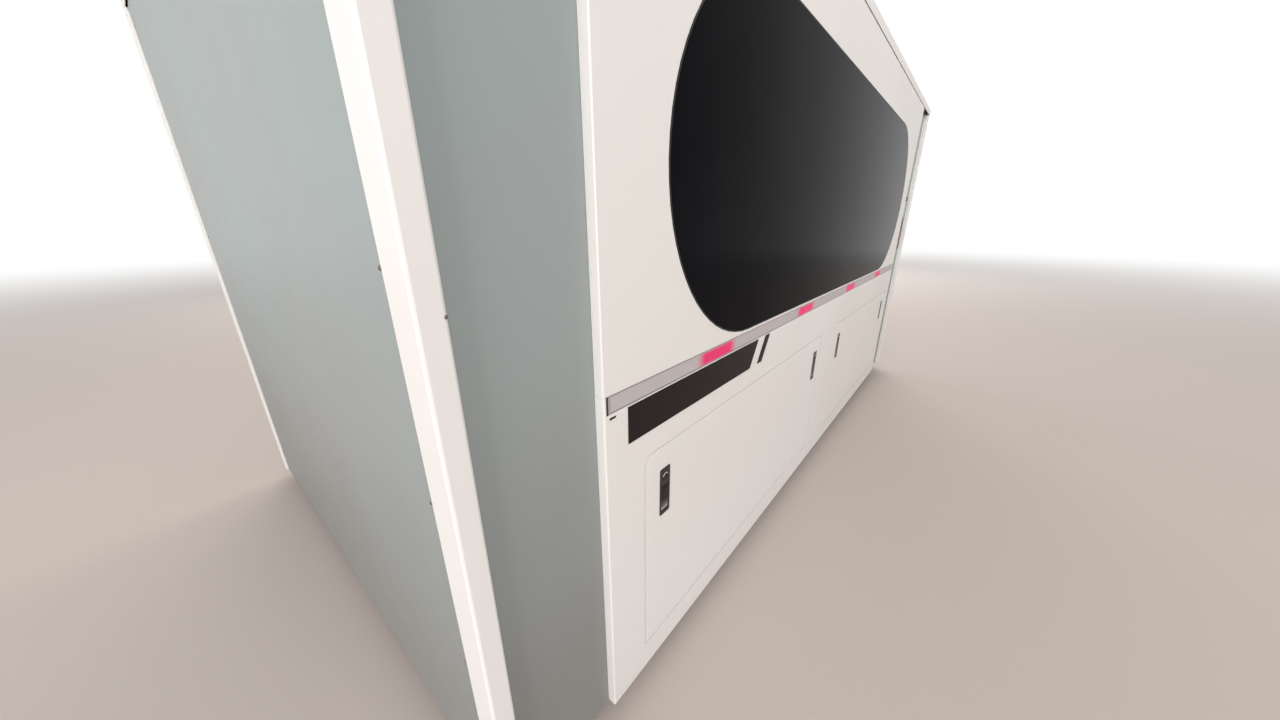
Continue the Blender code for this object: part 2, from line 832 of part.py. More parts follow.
def build_bed():
    """Welded bed: two side frames with a window at each drawer, joined by cross beams and runners."""
    half = bed_length / 2
    outline = rectangle(-half, bed_bottom, half, bed_top)
    windows = [rounded(centre - door_length / 2, runner_low(), centre + door_length / 2,
                       bed_top - bed_window_drop, bed_window_corner, bed_window_steps)
               for centre in module_centres]
    bed = None
    for side, y, facing in (("front", bed_face_y, to_front), ("rear", -bed_face_y, to_rear)):
        mesh = folded_panel(outline, bed_wall, bed_side_depth, windows)
        name = "bed_frame" if side == "front" else "bed_side_rear"
        made = solid(name, mesh, bed_paint, (0, y, 0), facing)
        if bed:
            combine(bed, made, "UNION")
        else:
            bed = made
    reach = -bed_face_y - bed_wall / 2
    for number, x in enumerate(cross_beam_places(), 1):
        section = channel_section(x, cross_beam_width, cross_beam_top - cross_beam_height, cross_beam_top)
        combine(bed, solid(f"cross_beam_{number}", prism(section, -reach, reach), bed_paint), "UNION")
    low = bed_bottom + bed_wall / 2
    for number, x in enumerate((base_beam_inset - half, 0, half - base_beam_inset), 1):
        section = channel_section(x, base_beam_width, low, bed_bottom + base_beam_height)
        beam = prism(section, wall_y + wall_sheet + seat_gap, rear_y - wall_sheet - seat_gap)
        combine(bed, solid(f"base_beam_{number}", beam, bed_paint), "UNION")
    spread = door_length / 2 - drawer_side_clearance - runner_inset
    runner_places = [centre + side * spread for centre in module_centres for side in (-1, 1)]
    for number, x in enumerate(runner_places, 1):
        section = channel_section(x, runner_width, low, runner_top)
        combine(bed, solid(f"drawer_runner_{number}", prism(section, -reach, reach), bed_paint), "UNION")


def channel_section(x, width, low, high):
    """Steel channel with its open side down, in X and Z."""
    half, inner, roof = width / 2, width / 2 - beam_sheet, high - beam_sheet
    return [(x - half, low), (x - inner, low), (x - inner, roof), (x + inner, roof), (x + inner, low),
            (x + half, low), (x + half, high), (x - half, high)]


def runner_low():
    """Height of the lower edge of the bed's windows, just under the drawers."""
    return runner_top - seat_gap - bed_wall


def cross_beam_places():
    """Where the cross beams stand under the table."""
    low, high = table_low_x + cross_beam_inset, table_high_x - cross_beam_inset
    pitch = (high - low) / (cross_beam_count - 1)
    return [low + pitch * index for index in range(cross_beam_count)]


def build_feet():
    """Levelling feet under the bed: pad, neck, stud and lock nut turned in one profile."""
    neck_top = foot_pad_height + foot_neck_height
    nut_low, nut_high = bed_bottom - foot_nut_height, bed_bottom - seat_gap
    profile = [
        (0, 0), (foot_pad_radius, 0), (foot_pad_radius, foot_pad_height * foot_pad_edge_share),
        (foot_pad_radius * foot_pad_crown_share, foot_pad_height), (foot_neck_radius, foot_pad_height),
        (foot_neck_radius * foot_neck_taper_share, neck_top), (foot_stud_radius, neck_top),
        (foot_stud_radius, nut_low), (foot_nut_radius, nut_low), (foot_nut_radius, nut_high),
        (0, nut_high),
    ]
    number = 0
    for x in (foot_inset - bed_length / 2, 0, bed_length / 2 - foot_inset):
        for side in (-1, 1):
            number += 1
            solid(f"foot_{number}", turned(profile, foot_steps), galvanised, (x, side * rail_offset, 0))


def build_drawers():
    """Tapered slag drawers with an out-turned rim, each behind its access door."""
    for side, centre in zip(("left", "right"), module_centres):
        half = door_length / 2 - drawer_side_clearance
        front = wall_y + wall_depth + drawer_setback
        rear = -bed_face_y - bed_side_depth - drawer_rear_gap
        mouth = rectangle(centre - half + drawer_rim, front + drawer_rim, centre + half - drawer_rim,
                          rear - drawer_rim)
        foot = offset(mouth, -drawer_taper)
        rim = offset(mouth, drawer_rim)
        high = drawer_bottom + drawer_height
        layers = [
            (foot, drawer_bottom), (mouth, high - drawer_sheet), (rim, high - drawer_sheet), (rim, high),
            (offset(mouth, -drawer_sheet), high),
            (offset(foot, -drawer_sheet), drawer_bottom + drawer_sheet),
        ]
        solid(f"slag_drawer_{side}", loft(layers, "Z"), galvanised)


def build_table():
    """Slat table: a tube frame with saw-toothed slats that the sheet rests on."""
    outline = rectangle(table_low_x, -table_half_width, table_high_x, table_half_width)
    mesh = tube(outline, table_tube_width, table_bottom, table_top)
    table = solid("slat_table", mesh, slat_steel)
    half = table_half_width - table_tube_width + slat_bury
    teeth = int(sheet_width / tooth_pitch)
    start = -teeth * tooth_pitch / 2
    profile = [(half, slat_low), (half, slat_top - tooth_height)]
    for index in reversed(range(teeth)):
        peak = start + (index + 1 / 2) * tooth_pitch
        profile.append((peak, slat_top))
        if index:
            profile.append((start + index * tooth_pitch, slat_top - tooth_height))
    profile += [(-half, slat_top - tooth_height), (-half, slat_low)]
    count = int((sheet_length - slat_pitch) / slat_pitch) + 1
    middle = work_start_x + sheet_length / 2
    slats = bmesh.new()
    for index in range(count):
        x = middle + (index - (count - 1) / 2) * slat_pitch
        rings = [ring(slats, profile, x + side * slat_thickness / 2, "X") for side in (-1, 1)]
        join(slats, rings)
        cap(slats, rings[:1])
        cap(slats, rings[1:])
    combine(table, solid("slats", slats, slat_steel), "UNION")


def rail_section(half_width, height, waist):
    """Outline of a linear guide rail that stands on zero, with a groove along each side."""
    groove = [height * share for share in rail_waist_shares]
    right = [(half_width, 0)]
    right += [(half_width - depth, z) for depth, z in zip((0, waist, waist, 0), groove)]
    right += [(half_width, height - waist / 2), (half_width - waist / 2, height)]
    return right + [(-y, z) for y, z in reversed(right)]


def build_rails():
    """Guide rails for the gantry on top of the bed."""
    low = rail_start - bed_length / 2
    high = bulkhead_x - rail_stop
    for side, y in (("front", -rail_offset), ("rear", rail_offset)):
        section = rail_section(rail_width / 2, rail_height, rail_waist)
        solid(f"rail_{side}", prism(section, low, high, "X"), bare_steel, (0, y, bed_top + seat_gap))


def truck_section(y):
    """Outline of a guide truck that straddles the rail at y, counted from the bed's top."""
    wide, slot = truck_width / 2, rail_width / 2 + guide_clearance
    low, high = bed_top + truck_lift, truck_top
    roof = rail_top + guide_clearance
    return [(y - wide, low), (y - slot, low), (y - slot, roof), (y + slot, roof), (y + slot, low),
            (y + wide, low), (y + wide, high), (y - wide, high)]


def motor(name, x, y, low, size, height):
    """A servo motor standing on low: a narrower neck under a square body."""
    body = [(x + u, y + v) for u, v in rectangle(-size / 2, -size / 2, size / 2, size / 2)]
    neck = offset(body, (motor_neck_share - 1) * size / 2)
    neck_top = low + motor_neck_height
    layers = [(neck, low - overrun), (neck, neck_top), (body, neck_top), (body, low + height)]
    return solid(name, loft(layers, "Z"), dark_plastic, (gantry_x, 0, 0))


def build_gantry():
    """Gantry beam on two guide trucks, with the carriage, the lifting slide and the cutting head."""
    half, low, high = beam_width / 2, beam_low, beam_low + beam_height
    section = [
        (-half, low), (half, low), (half, high - beam_chamfer), (half - beam_chamfer, high),
        (beam_chamfer - half, high), (-half, high - beam_chamfer),
    ]
    mesh = tube(section, beam_wall, -beam_length / 2, beam_length / 2, "Y")
    place = (gantry_x, 0, 0)
    gantry = solid("gantry_beam", mesh, aluminium, place)
    for side, y in (("front", -rail_offset), ("rear", rail_offset)):
        truck = prism(truck_section(y), -truck_length / 2, truck_length / 2, "X")
        combine(gantry, solid(f"truck_{side}", truck, aluminium, place), "UNION")
        drive_x = (half + truck_length / 2) / 2
        drive = motor(f"drive_motor_{side}", drive_x, y, truck_top, drive_motor_size, drive_motor_height)
        combine(gantry, drive, "UNION")
    half_rail = cross_rail_size / 2
    rail_heights = [beam_mid_z - cross_rail_spread / 2, beam_mid_z + cross_rail_spread / 2]
    for number, z in enumerate(rail_heights, 1):
        section = rectangle(cross_rail_face, z - half_rail, -half + beam_wall / 2, z + half_rail)
        rail = prism(section, -beam_length / 2 + truck_width, beam_length / 2 - truck_width, "Y")
        combine(gantry, solid(f"cross_rail_{number}", rail, bare_steel, place), "UNION")

    low, high = beam_mid_z - carriage_height / 2, beam_mid_z + carriage_height / 2
    back = -half - guide_clearance
    slot = half_rail + guide_clearance
    roof = cross_rail_face - guide_clearance
    section = [(carriage_face, high), (carriage_face, low), (back, low)]
    for z in rail_heights:
        section += [(back, z - slot), (roof, z - slot), (roof, z + slot), (back, z + slot)]
    section.append((back, high))
    carriage_half = carriage_length / 2
    carriage = solid("carriage", prism(section, -carriage_half, carriage_half, "Y"), aluminium, place)
    section = rectangle(lift_rail_face, -lift_rail_width / 2, carriage_face + seat_gap, lift_rail_width / 2)
    combine(carriage, solid("lift_rail", prism(section, low, high, "Z"), bare_steel, place), "UNION")
    lift_motor = motor("lift_motor", (carriage_face + back) / 2, 0, high, carriage_motor_size,
                       carriage_motor_height)
    combine(carriage, lift_motor, "UNION")

    slide_low = slat_top + head_travel + 2 * head_standoff
    slide_high = slide_low + slide_length
    wide, slot = slide_width / 2, lift_rail_width / 2 + guide_clearance
    face, back, roof = slide_face, carriage_face - guide_clearance, lift_rail_face - guide_clearance
    section = [(face, -wide), (back, -wide), (back, -slot), (roof, -slot), (roof, slot), (back, slot),
               (back, wide), (face, wide)]
    slide = solid("head_slide", prism(section, slide_low, slide_high, "Z"), aluminium, place)
    bore = head_radius + seat_gap
    ear = bore + clamp_wall
    clamp = rectangle(-head_offset - ear, -ear, face + wall_sheet, ear)
    clamp_low = nozzle_tip_z + nozzle_length + clamp_wall
    block = solid("head_clamp", prism(clamp, clamp_low, clamp_low + clamp_height, "Z"), aluminium, place)
    combine(slide, block, "UNION")
    hole = prism(circle(-head_offset, 0, bore), clamp_low - overrun, clamp_low + clamp_height + overrun, "Z")
    combine(slide, solid("head_bore", hole, aluminium, place), "DIFFERENCE")

    tip = nozzle_tip_z
    shoulder = tip + nozzle_length
    flare, neck, cone = (tip + nozzle_length * share for share in nozzle_shares)
    crown, plug_top = head_top_z + nozzle_radius, head_top_z + head_plug_height
    profile = [
        (0, tip), (nozzle_radius, tip), (nozzle_body_radius, flare), (nozzle_body_radius, neck),
        (head_radius * head_cone_share, cone), (head_radius, shoulder), (head_radius, head_top_z),
        (head_radius * head_crown_share, crown), (head_plug_radius, crown), (head_plug_radius, plug_top),
        (0, plug_top),
    ]
    head = solid("cutting_head", turned(profile), dark_plastic, (gantry_x - head_offset, 0, 0))
    carry(slide, head)
    carry(carriage, slide)
    carry(gantry, carriage)


def track_section(base, direction):
    """Double guide track in Y and Z, with its two grooves open upwards or downwards."""
    back, tip = base - direction * track_base, base + direction * track_lip
    points = [(outer_track_y + track_clearance + track_wall + track_lap, back),
              (outer_track_y + track_clearance + track_wall + track_lap, tip)]
    for face in (outer_track_y, inner_track_y):
        near, far = face + track_clearance, face - sliding_door_depth - track_clearance
        points += [(near, tip), (near, base), (far, base), (far, tip)]
    end = inner_track_y - sliding_door_depth - track_clearance - track_wall
    return points + [(end, tip), (end, back)]


def build_rear_wall():
    """Grey rear wall with the loading opening and the two-groove tracks for its doors."""
    outline = rectangle(-wall_half_length, base_z, wall_half_length, top_z)
    opening = rounded(-loading_half, loading_low, loading_half, loading_high, loading_corner)
    mesh = folded_panel(outline, wall_sheet, wall_depth, [opening])
    wall = solid("rear_wall", mesh, grey_paint, (0, rear_y, 0), to_rear)
    reach = loading_half + sliding_door_lap
    tracks = (("track_low", loading_low - track_lip, 1), ("track_high", loading_high + track_lip, -1))
    for name, base, direction in tracks:
        track = prism(track_section(base, direction), -reach, reach, "X")
        combine(wall, solid(name, track, aluminium), "UNION")


def build_sliding_doors():
    """Loading doors on separate grooves, each with a dark pane and a flush cup pull."""
    width = loading_half + sliding_door_lap
    low = loading_low - track_lip + seat_gap
    height = loading_high - loading_low + 2 * track_lip - seat_gap - 2 * track_clearance
    for side, hand, face in (("left", 1, outer_track_y), ("right", -1, inner_track_y)):
        place = (-hand * (width - sliding_door_lap) / 2, face, low)
        half = width / 2
        outline = rectangle(-half, 0, half, height)
        window = rounded(sliding_window_margin - half, sliding_window_sill, half - sliding_window_margin,
                         height - sliding_window_sill, sliding_window_corner)
        pull_u = hand * (half - pull_inset)
        cutout = rounded(pull_u - pull_width / 2, pull_rise, pull_u + pull_width / 2,
                         pull_rise + pull_height, pull_width / 2)
        mesh = folded_panel(outline, sliding_door_sheet, sliding_door_depth, plain=[window, cutout],
                            fold=sliding_door_fold)
        door = solid(f"loading_door_{side}", mesh, white_paint, place, to_rear)
        pane_low = sliding_door_sheet + seat_gap
        pane = prism(offset(window, sliding_pane_lap), pane_low, pane_low + sliding_pane)
        pane = solid(f"loading_window_{side}", pane, black_glass, place, to_rear)
        seat = offset(cutout, -seat_gap)
        inner = offset(seat, -pull_wall)
        bezel = offset(cutout, pull_bezel)
        layers = [(inner, pull_depth - pull_wall), (inner, -pull_bezel_thickness),
                  (bezel, -pull_bezel_thickness), (bezel, -seat_gap), (seat, -seat_gap), (seat, pull_depth)]
        pull = solid(f"door_pull_{side}", loft(layers), bare_steel, place, to_rear)
        carry(door, pane, pull)


def build_bulkhead():
    """Partition between the cutting room and the service end, notched over the bed's sides."""
    rear_end = inner_track_y - sliding_door_depth - track_clearance - track_wall - seat_gap
    front_end = wall_y + wall_depth + seat_gap
    narrow = -bed_face_y - bed_side_depth - seat_gap
    low = bed_bottom + base_beam_height + seat_gap
    shoulder = bed_top + seat_gap
    high = top_z + roof_height - wall_sheet - seat_gap
    outline = [(-narrow, low), (narrow, low), (narrow, shoulder), (rear_end, shoulder), (rear_end, high),
               (front_end, high), (front_end, shoulder), (-narrow, shoulder)]
    mesh = folded_panel(outline, wall_sheet, bulkhead_depth)
    solid("bulkhead", mesh, grey_paint, (bulkhead_x + bulkhead_depth, 0, 0), to_right)


def build_service_equipment():
    """Electrical cabinet and laser source, bolted to the bulkhead behind the service door."""
    back = bulkhead_x + bulkhead_depth + seat_gap
    outline = rectangle(-cabinet_width / 2, 0, cabinet_width / 2, cabinet_height)
    inner = offset(outline, -cabinet_wall)
    floor = cabinet_depth - cabinet_wall
    layers = [(inner, floor), (inner, 0), (outline, 0), (outline, cabinet_depth)]
    blocks = []
    rows = int(cabinet_height / breaker_row_pitch)
    columns = int((cabinet_width - 2 * breaker_margin) / breaker_pitch)
    for row in range(rows):
        low = (row + 1 / 2) * cabinet_height / rows - breaker_row_height / 2
        for column in range(columns):
            left = (column - columns / 2) * breaker_pitch + breaker_gap / 2
            block = rectangle(left, low, left + breaker_pitch - breaker_gap, low + breaker_row_height)
            blocks.append([(block, floor), (block, floor - breaker_row_depth)])
    solid("electrical_cabinet", housing(layers, blocks), dark_plastic,
          (back + cabinet_depth, 0, cabinet_low), to_right)

    outline = rounded(-source_width / 2, 0, source_width / 2, source_height, source_corner, fold_steps)
    count = int((source_width - 2 * source_fin_margin) / source_fin_pitch)
    grooves = []
    for index in range(count):
        middle = (index - (count - 1) / 2) * source_fin_pitch
        groove = rectangle(middle - source_fin_gap / 2, source_fin_margin, middle + source_fin_gap / 2,
                           source_height - source_fin_margin)
        grooves.append([(groove, 0), (groove, source_fin_depth)])
    layers = [(outline, 0), (outline, source_depth)]
    solid("laser_source", housing(layers, grooves), white_paint,
          (back + source_depth, 0, source_low), to_right)


def service_outline(grown=0.0):
    """Outline of the service door, in Y and Z, nearly square at its hinge."""
    radii = (door_corner, door_corner, hinge_corner, hinge_corner)
    points = rounded(-service_door_width / 2, service_door_low, service_door_width / 2,
                     service_door_low + service_door_height, radii)
    return offset(points, grown) if grown else points


def service_rod(name, grown=0.0):
    """Upright hinge rod in the service door's front fold, or the hole for it where it is grown."""
    reach = door_gap + wall_sheet + rod_stub + grown
    outline = circle(half_length - end_wall_recess - hinge_inset, hinge_inset - service_door_width / 2,
                     hinge_rod_radius + grown, rod_steps)
    low, high = service_door_low - reach, service_door_low + service_door_height + reach
    return solid(name, prism(outline, low, high, "Z"), bare_steel)


def build_service_door():
    """Side-hung service door with vent slots and a pressed finger recess."""
    axis_y = hinge_inset - service_door_width / 2
    outline = [(u - axis_y, v) for u, v in service_outline()]
    slots = []
    slot_half = vent_length / 2
    middle = service_door_width / 2 - hinge_inset
    group_height = (vent_count - 1) * vent_pitch + vent_height
    for group_low in (vent_margin, service_door_height - vent_margin - group_height):
        for index in range(vent_count):
            low = service_door_low + group_low + index * vent_pitch
            slots.append(rounded(middle - slot_half, low, middle + slot_half, low + vent_height,
                                 vent_height / 2, 1))
    pull_u = service_door_width - hinge_inset - pull_inset
    pull_v = service_door_low + service_door_height / 2 - pull_height / 2
    recess = rounded(pull_u - pull_width / 2, pull_v, pull_u + pull_width / 2, pull_v + pull_height,
                     pull_width / 2)
    mesh = folded_panel(outline, door_sheet, door_depth, plain=slots,
                        pressings=[(recess, pull_depth)], fold=door_sheet)
    bmesh.ops.translate(mesh, verts=mesh.verts, vec=(0, -hinge_inset, 0))
    place = (half_length - end_wall_recess - hinge_inset, axis_y, 0)
    door = solid("service_door", mesh, grey_paint, place, to_right)
    combine(door, service_rod("service_door_bore", hinge_clearance), "DIFFERENCE")
    service_rod("service_door_rod")


def panel_outline(grown=0.0):
    """The operator panel's outline in X and Z, in the middle of the right grey column."""
    middle = half_cladding + column_width / 2
    points = rounded(middle - panel_width / 2, panel_rise, middle + panel_width / 2,
                     panel_rise + panel_height, panel_corner, fold_steps)
    return offset(points, grown) if grown else points


def build_operator_panel():
    """Panel with a screen, an emergency stop and a start button."""
    middle = half_cladding + column_width / 2
    face = -panel_thickness
    back = panel_outline(-panel_back_inset)
    screen_high = panel_rise + panel_height - screen_drop
    screen = rounded(middle - screen_width / 2, screen_high - screen_height, middle + screen_width / 2,
                     screen_high, screen_corner, fold_steps)
    pocket = offset(screen, panel_fit)
    button_z = panel_rise + button_rise
    places = {"stop": middle - button_spread, "start": middle + button_spread}
    hole_depth = face + stem_length + stop_travel + button_lift
    details = [[(pocket, face), (pocket, face + screen_recess)]]
    for x in places.values():
        hole = circle(x, button_z, stem_radius + panel_fit, turned_steps // 2)
        details.append([(hole, face), (hole, hole_depth)])
    layers = [(panel_outline(-panel_fit), face), (panel_outline(), face + panel_fit),
              (panel_outline(), -seat_gap), (back, -seat_gap), (back, panel_back_depth)]
    solid("control_panel", housing(layers, details), dark_plastic, (0, wall_y, 0))
    screen_back = face + screen_recess - seat_gap
    mesh = prism(screen, screen_back - screen_thickness, screen_back)
    solid("control_screen", mesh, black_glass, (0, wall_y, 0))

    buttons = (
        ("stop", stop_head_radius, stop_head_height, stop_travel, stop_red),
        ("start", start_head_radius, start_head_height, start_travel, start_green),
    )
    for name, radius, height, travel, colour in buttons:
        lift = travel + button_lift
        profile = [(0, -stem_length), (stem_radius, -stem_length), (stem_radius, lift), (radius, lift),
                   (radius, lift + height / 2), (radius * button_crown_share, lift + height),
                   (0, lift + height)]
        place = (places[name], wall_y + face, button_z)
        solid(f"{name}_button", turned(profile), colour, place, (math.radians(90), 0, 0))


build_posts()
build_front_wall()
build_end_walls()
build_rear_wall()
build_roof()
build_claddings()
build_window()
build_status_light()
build_inlays()
build_access_doors()
build_bed()
build_feet()
build_drawers()
build_table()
build_rails()
build_gantry()
build_sliding_doors()
build_bulkhead()
build_service_equipment()
build_service_door()
build_operator_panel()
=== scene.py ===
import json
import math

import bmesh
import bpy
from mathutils import Matrix, Vector

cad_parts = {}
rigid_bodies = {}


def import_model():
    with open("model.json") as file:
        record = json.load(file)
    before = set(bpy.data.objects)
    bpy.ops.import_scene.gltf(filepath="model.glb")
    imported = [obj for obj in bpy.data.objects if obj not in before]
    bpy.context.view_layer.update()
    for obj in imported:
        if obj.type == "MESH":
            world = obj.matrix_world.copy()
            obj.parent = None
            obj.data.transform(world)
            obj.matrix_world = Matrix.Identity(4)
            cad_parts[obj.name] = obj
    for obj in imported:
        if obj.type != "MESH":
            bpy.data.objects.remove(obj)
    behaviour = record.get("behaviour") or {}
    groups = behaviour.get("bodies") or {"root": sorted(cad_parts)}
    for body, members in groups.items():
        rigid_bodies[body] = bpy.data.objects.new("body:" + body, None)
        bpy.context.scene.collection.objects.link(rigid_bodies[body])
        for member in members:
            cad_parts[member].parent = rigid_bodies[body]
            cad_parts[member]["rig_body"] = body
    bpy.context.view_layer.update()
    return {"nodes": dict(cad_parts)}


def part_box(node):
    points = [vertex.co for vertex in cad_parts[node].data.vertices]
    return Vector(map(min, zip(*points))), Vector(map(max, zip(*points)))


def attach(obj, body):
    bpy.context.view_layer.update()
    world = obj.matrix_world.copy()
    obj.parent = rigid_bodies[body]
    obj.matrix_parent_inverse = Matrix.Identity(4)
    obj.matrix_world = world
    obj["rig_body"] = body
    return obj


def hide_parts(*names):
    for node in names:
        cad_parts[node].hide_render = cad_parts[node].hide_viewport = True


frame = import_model()

# The camera stands close to the machine's front left corner, at head height, and looks down along
# the window side. Its wide lens makes the long front run away to the right.
camera_place = Vector((-2.331, -1.730, 1.420))
camera_right = Vector((0.637, -0.771, -0.005))
camera_forward = Vector((0.72653, 0.60244, -0.33049))
camera_back = -camera_forward.normalized()
camera_up = camera_back.cross(camera_right).normalized()
camera_side = camera_up.cross(camera_back)
camera_data = bpy.data.cameras.new("camera")
camera_data.lens = 11.13
camera_data.clip_start = 0.02
camera = bpy.data.objects.new("camera", camera_data)
camera.matrix_world = Matrix.Translation(camera_place) @ Matrix(
    (camera_side, camera_up, camera_back)).transposed().to_4x4()
bpy.context.scene.collection.objects.link(camera)
bpy.context.scene.camera = camera
bpy.context.scene.view_settings.view_transform = "Standard"

# The studio has an even pale sky, one broad soft lamp off the machine's left end and weaker ones
# round it. The sky itself shows as white, also in the window and on bare metal.
class Wire:
    """A changing value in a tree of nodes, which adds and multiplies like a number."""

    def __init__(self, socket):
        self.socket = socket

    def combined(self, operation, first, second):
        node = self.socket.id_data.nodes.new("ShaderNodeMath")
        node.operation = operation
        for place, value in enumerate((first, second)):
            if isinstance(value, Wire):
                node.id_data.links.new(value.socket, node.inputs[place])
            else:
                node.inputs[place].default_value = value
        return Wire(node.outputs[0])

    def __add__(self, other):
        return self.combined("ADD", self, other)

    def __radd__(self, other):
        return self.combined("ADD", other, self)

    def __sub__(self, other):
        return self.combined("SUBTRACT", self, other)

    def __rsub__(self, other):
        return self.combined("SUBTRACT", other, self)

    def __mul__(self, other):
        return self.combined("MULTIPLY", self, other)

    def __rmul__(self, other):
        return self.combined("MULTIPLY", other, self)

    def __truediv__(self, other):
        return self.combined("DIVIDE", self, other)


def add_node(tree, kind, settings, sockets, output):
    """A node of one type, with its settings and then its sockets set or linked."""
    made = tree.nodes.new(kind)
    for setting, value in dict(settings).items():
        setattr(made, setting, value)
    for socket, value in dict(sockets).items():
        if isinstance(value, Wire):
            tree.links.new(value.socket, made.inputs[socket])
        else:
            made.inputs[socket].default_value = value
    return Wire(made.outputs[output])


def background_ray(tree):
    """1 on the rays that show the background: the camera's own, and those off gloss or through glass."""
    seen, glossy, through = (add_node(tree, "ShaderNodeLightPath", (), (), f"Is {kind} Ray")
                             for kind in ("Camera", "Glossy", "Transmission"))
    return seen + glossy + through


ambient = 0.47
world = bpy.data.worlds.new("studio")
world.use_nodes = True
bpy.context.scene.world = world
sky = world.node_tree
dim_sky = sky.nodes["Background"]
dim_sky.inputs["Color"].default_value = (1, 1, 1, 1)
dim_sky.inputs["Strength"].default_value = ambient
white_sky = add_node(sky, "ShaderNodeBackground", (), {"Color": (1, 1, 1, 1)}, 0)
whole_sky = add_node(sky, "ShaderNodeMixShader", (), {
    0: background_ray(sky), 1: Wire(dim_sky.outputs[0]), 2: white_sky}, 0)
sky.links.new(whole_sky.socket, sky.nodes["World Output"].inputs["Surface"])


def soft_lamp(name, place, target, size, power):
    """A square area lamp at place that faces target."""
    data = bpy.data.lights.new(name, "AREA")
    data.size = size
    data.energy = power
    lamp = bpy.data.objects.new(name, data)
    lamp.location = place
    lamp.rotation_euler = (Vector(target) - Vector(place)).to_track_quat("-Z", "Y").to_euler()
    bpy.context.scene.collection.objects.link(lamp)


soft_lamp("left_lamp", (-11.0, -3.2, 3.6), (-1.9, -1.0, 1.3), 5.0, 680)
soft_lamp("front_lamp", (-3.0, -9.0, 5.0), (-0.5, -1.1, 1.2), 6.0, 320)
soft_lamp("rear_lamp", (2.0, 8.0, 5.0), (0, 1.1, 1.1), 6.0, 230)
soft_lamp("right_lamp", (10.0, 3.0, 6.0), (2.0, 0, 1.2), 7.0, 540)


# The floor is a plain pale sheet, which fades into the white sky far off. The white powder coat of
# the folded steel panels follows it: a warm white, satin, with the fine orange-peel skin that baked
# powder has.
class Finish:
    """A Principled material: constants sit on the shader, and what changes is wired in."""

    def __init__(self, name, colour, roughness, metallic=0.0, gloss=0.5):
        self.material = bpy.data.materials.new(name)
        self.material.use_nodes = True
        self.tree = self.material.node_tree
        self.shader = self.tree.nodes["Principled BSDF"]
        self.colour = colour
        self.shader.inputs["Base Color"].default_value = (*colour, 1)
        self.shader.inputs["Roughness"].default_value = roughness
        self.shader.inputs["Metallic"].default_value = metallic
        self.shader.inputs["Specular IOR Level"].default_value = gloss
        self.place = self.node("TexCoord", output="Object")

    def node(self, kind, settings=(), sockets=(), output=0):
        """A shader node of one type in this finish."""
        return add_node(self.tree, "ShaderNode" + kind, settings, sockets, output)

    def axis(self, name):
        """One coordinate of the place on the piece, in metres."""
        return self.node("SeparateXYZ", sockets={"Vector": self.place}, output=name)

    def noise(self, scale, detail=2.0, stretch=(1, 1, 1)):
        """Soft random patches, scale of them to the metre."""
        place = self.node("Mapping", sockets={"Vector": self.place, "Scale": stretch})
        return self.node("TexNoise", sockets={"Vector": place, "Scale": scale, "Detail": detail})

    def ramp(self, value, low, high):
        """A smooth step from 0 at low to 1 at high."""
        sockets = {"Value": value, "From Min": low, "From Max": high}
        return self.node("MapRange", {"interpolation_type": "SMOOTHSTEP"}, sockets)

    def within(self, axis, low, high, soft=0.0005):
        """1 between two places along an axis and 0 outside."""
        place = self.axis(axis)
        return self.ramp(place, low - soft, low + soft) * self.ramp(place, high + soft, high - soft)

    def mix(self, mask, first, second):
        """One colour turning into another."""
        sockets = {0: mask}
        for place, colour in ((6, first), (7, second)):
            sockets[place] = colour if isinstance(colour, Wire) else (*colour, 1)
        return self.node("Mix", {"data_type": "RGBA"}, sockets, 2)

    def feed(self, socket, value):
        """Wires a changing value into the shader."""
        self.tree.links.new(value.socket, self.shader.inputs[socket])

    def bump(self, height, depth):
        """Relief of the surface, depth metres high."""
        sockets = {"Height": height, "Strength": 1.0, "Distance": depth}
        self.feed("Normal", self.node("Bump", sockets=sockets, output="Normal"))


floor_finish = Finish("floor_finish", (0.60, 0.52, 0.47), 0.75, gloss=0.2)
fade_start, fade_end, floor_half = 4.0, 24.0, 60.0
far_off = floor_finish.node("VectorMath", {"operation": "LENGTH"}, {0: floor_finish.place}, "Value")
fade = floor_finish.ramp(far_off, fade_start, fade_end) * background_ray(floor_finish.tree)
white_floor = floor_finish.node("Emission", sockets={"Strength": 1.0})
faded_floor = floor_finish.node("MixShader", sockets={
    0: fade, 1: Wire(floor_finish.shader.outputs[0]), 2: white_floor})
floor_finish.tree.links.new(faded_floor.socket, floor_finish.tree.nodes["Material Output"].inputs["Surface"])
floor_mesh = bpy.data.meshes.new("floor")
floor_mesh.from_pydata([(-floor_half, -floor_half, 0), (floor_half, -floor_half, 0),
                        (floor_half, floor_half, 0), (-floor_half, floor_half, 0)], [], [(0, 1, 2, 3)])
floor_mesh.materials.append(floor_finish.material)
floor = bpy.data.objects.new("floor", floor_mesh)
bpy.context.scene.collection.objects.link(floor)


def powder_coat(name, colour, tint, roughness):
    """Satin powder coat: colour drifts softly towards a tint, over a fine orange-peel skin."""
    coat = Finish(name, colour, roughness, gloss=0.35)
    coat.drift = coat.mix(coat.ramp(coat.noise(1.1, 1.0), 0.3, 0.7), colour, tint)
    coat.feed("Base Color", coat.drift)
    coat.feed("Roughness", roughness + 0.1 * (coat.noise(12, 3.0) - 0.5))
    coat.bump(coat.noise(600, 1.0), 0.00002)
    return coat


white_coat = powder_coat("white_coat", (0.800, 0.772, 0.758), (0.775, 0.748, 0.708), 0.42)


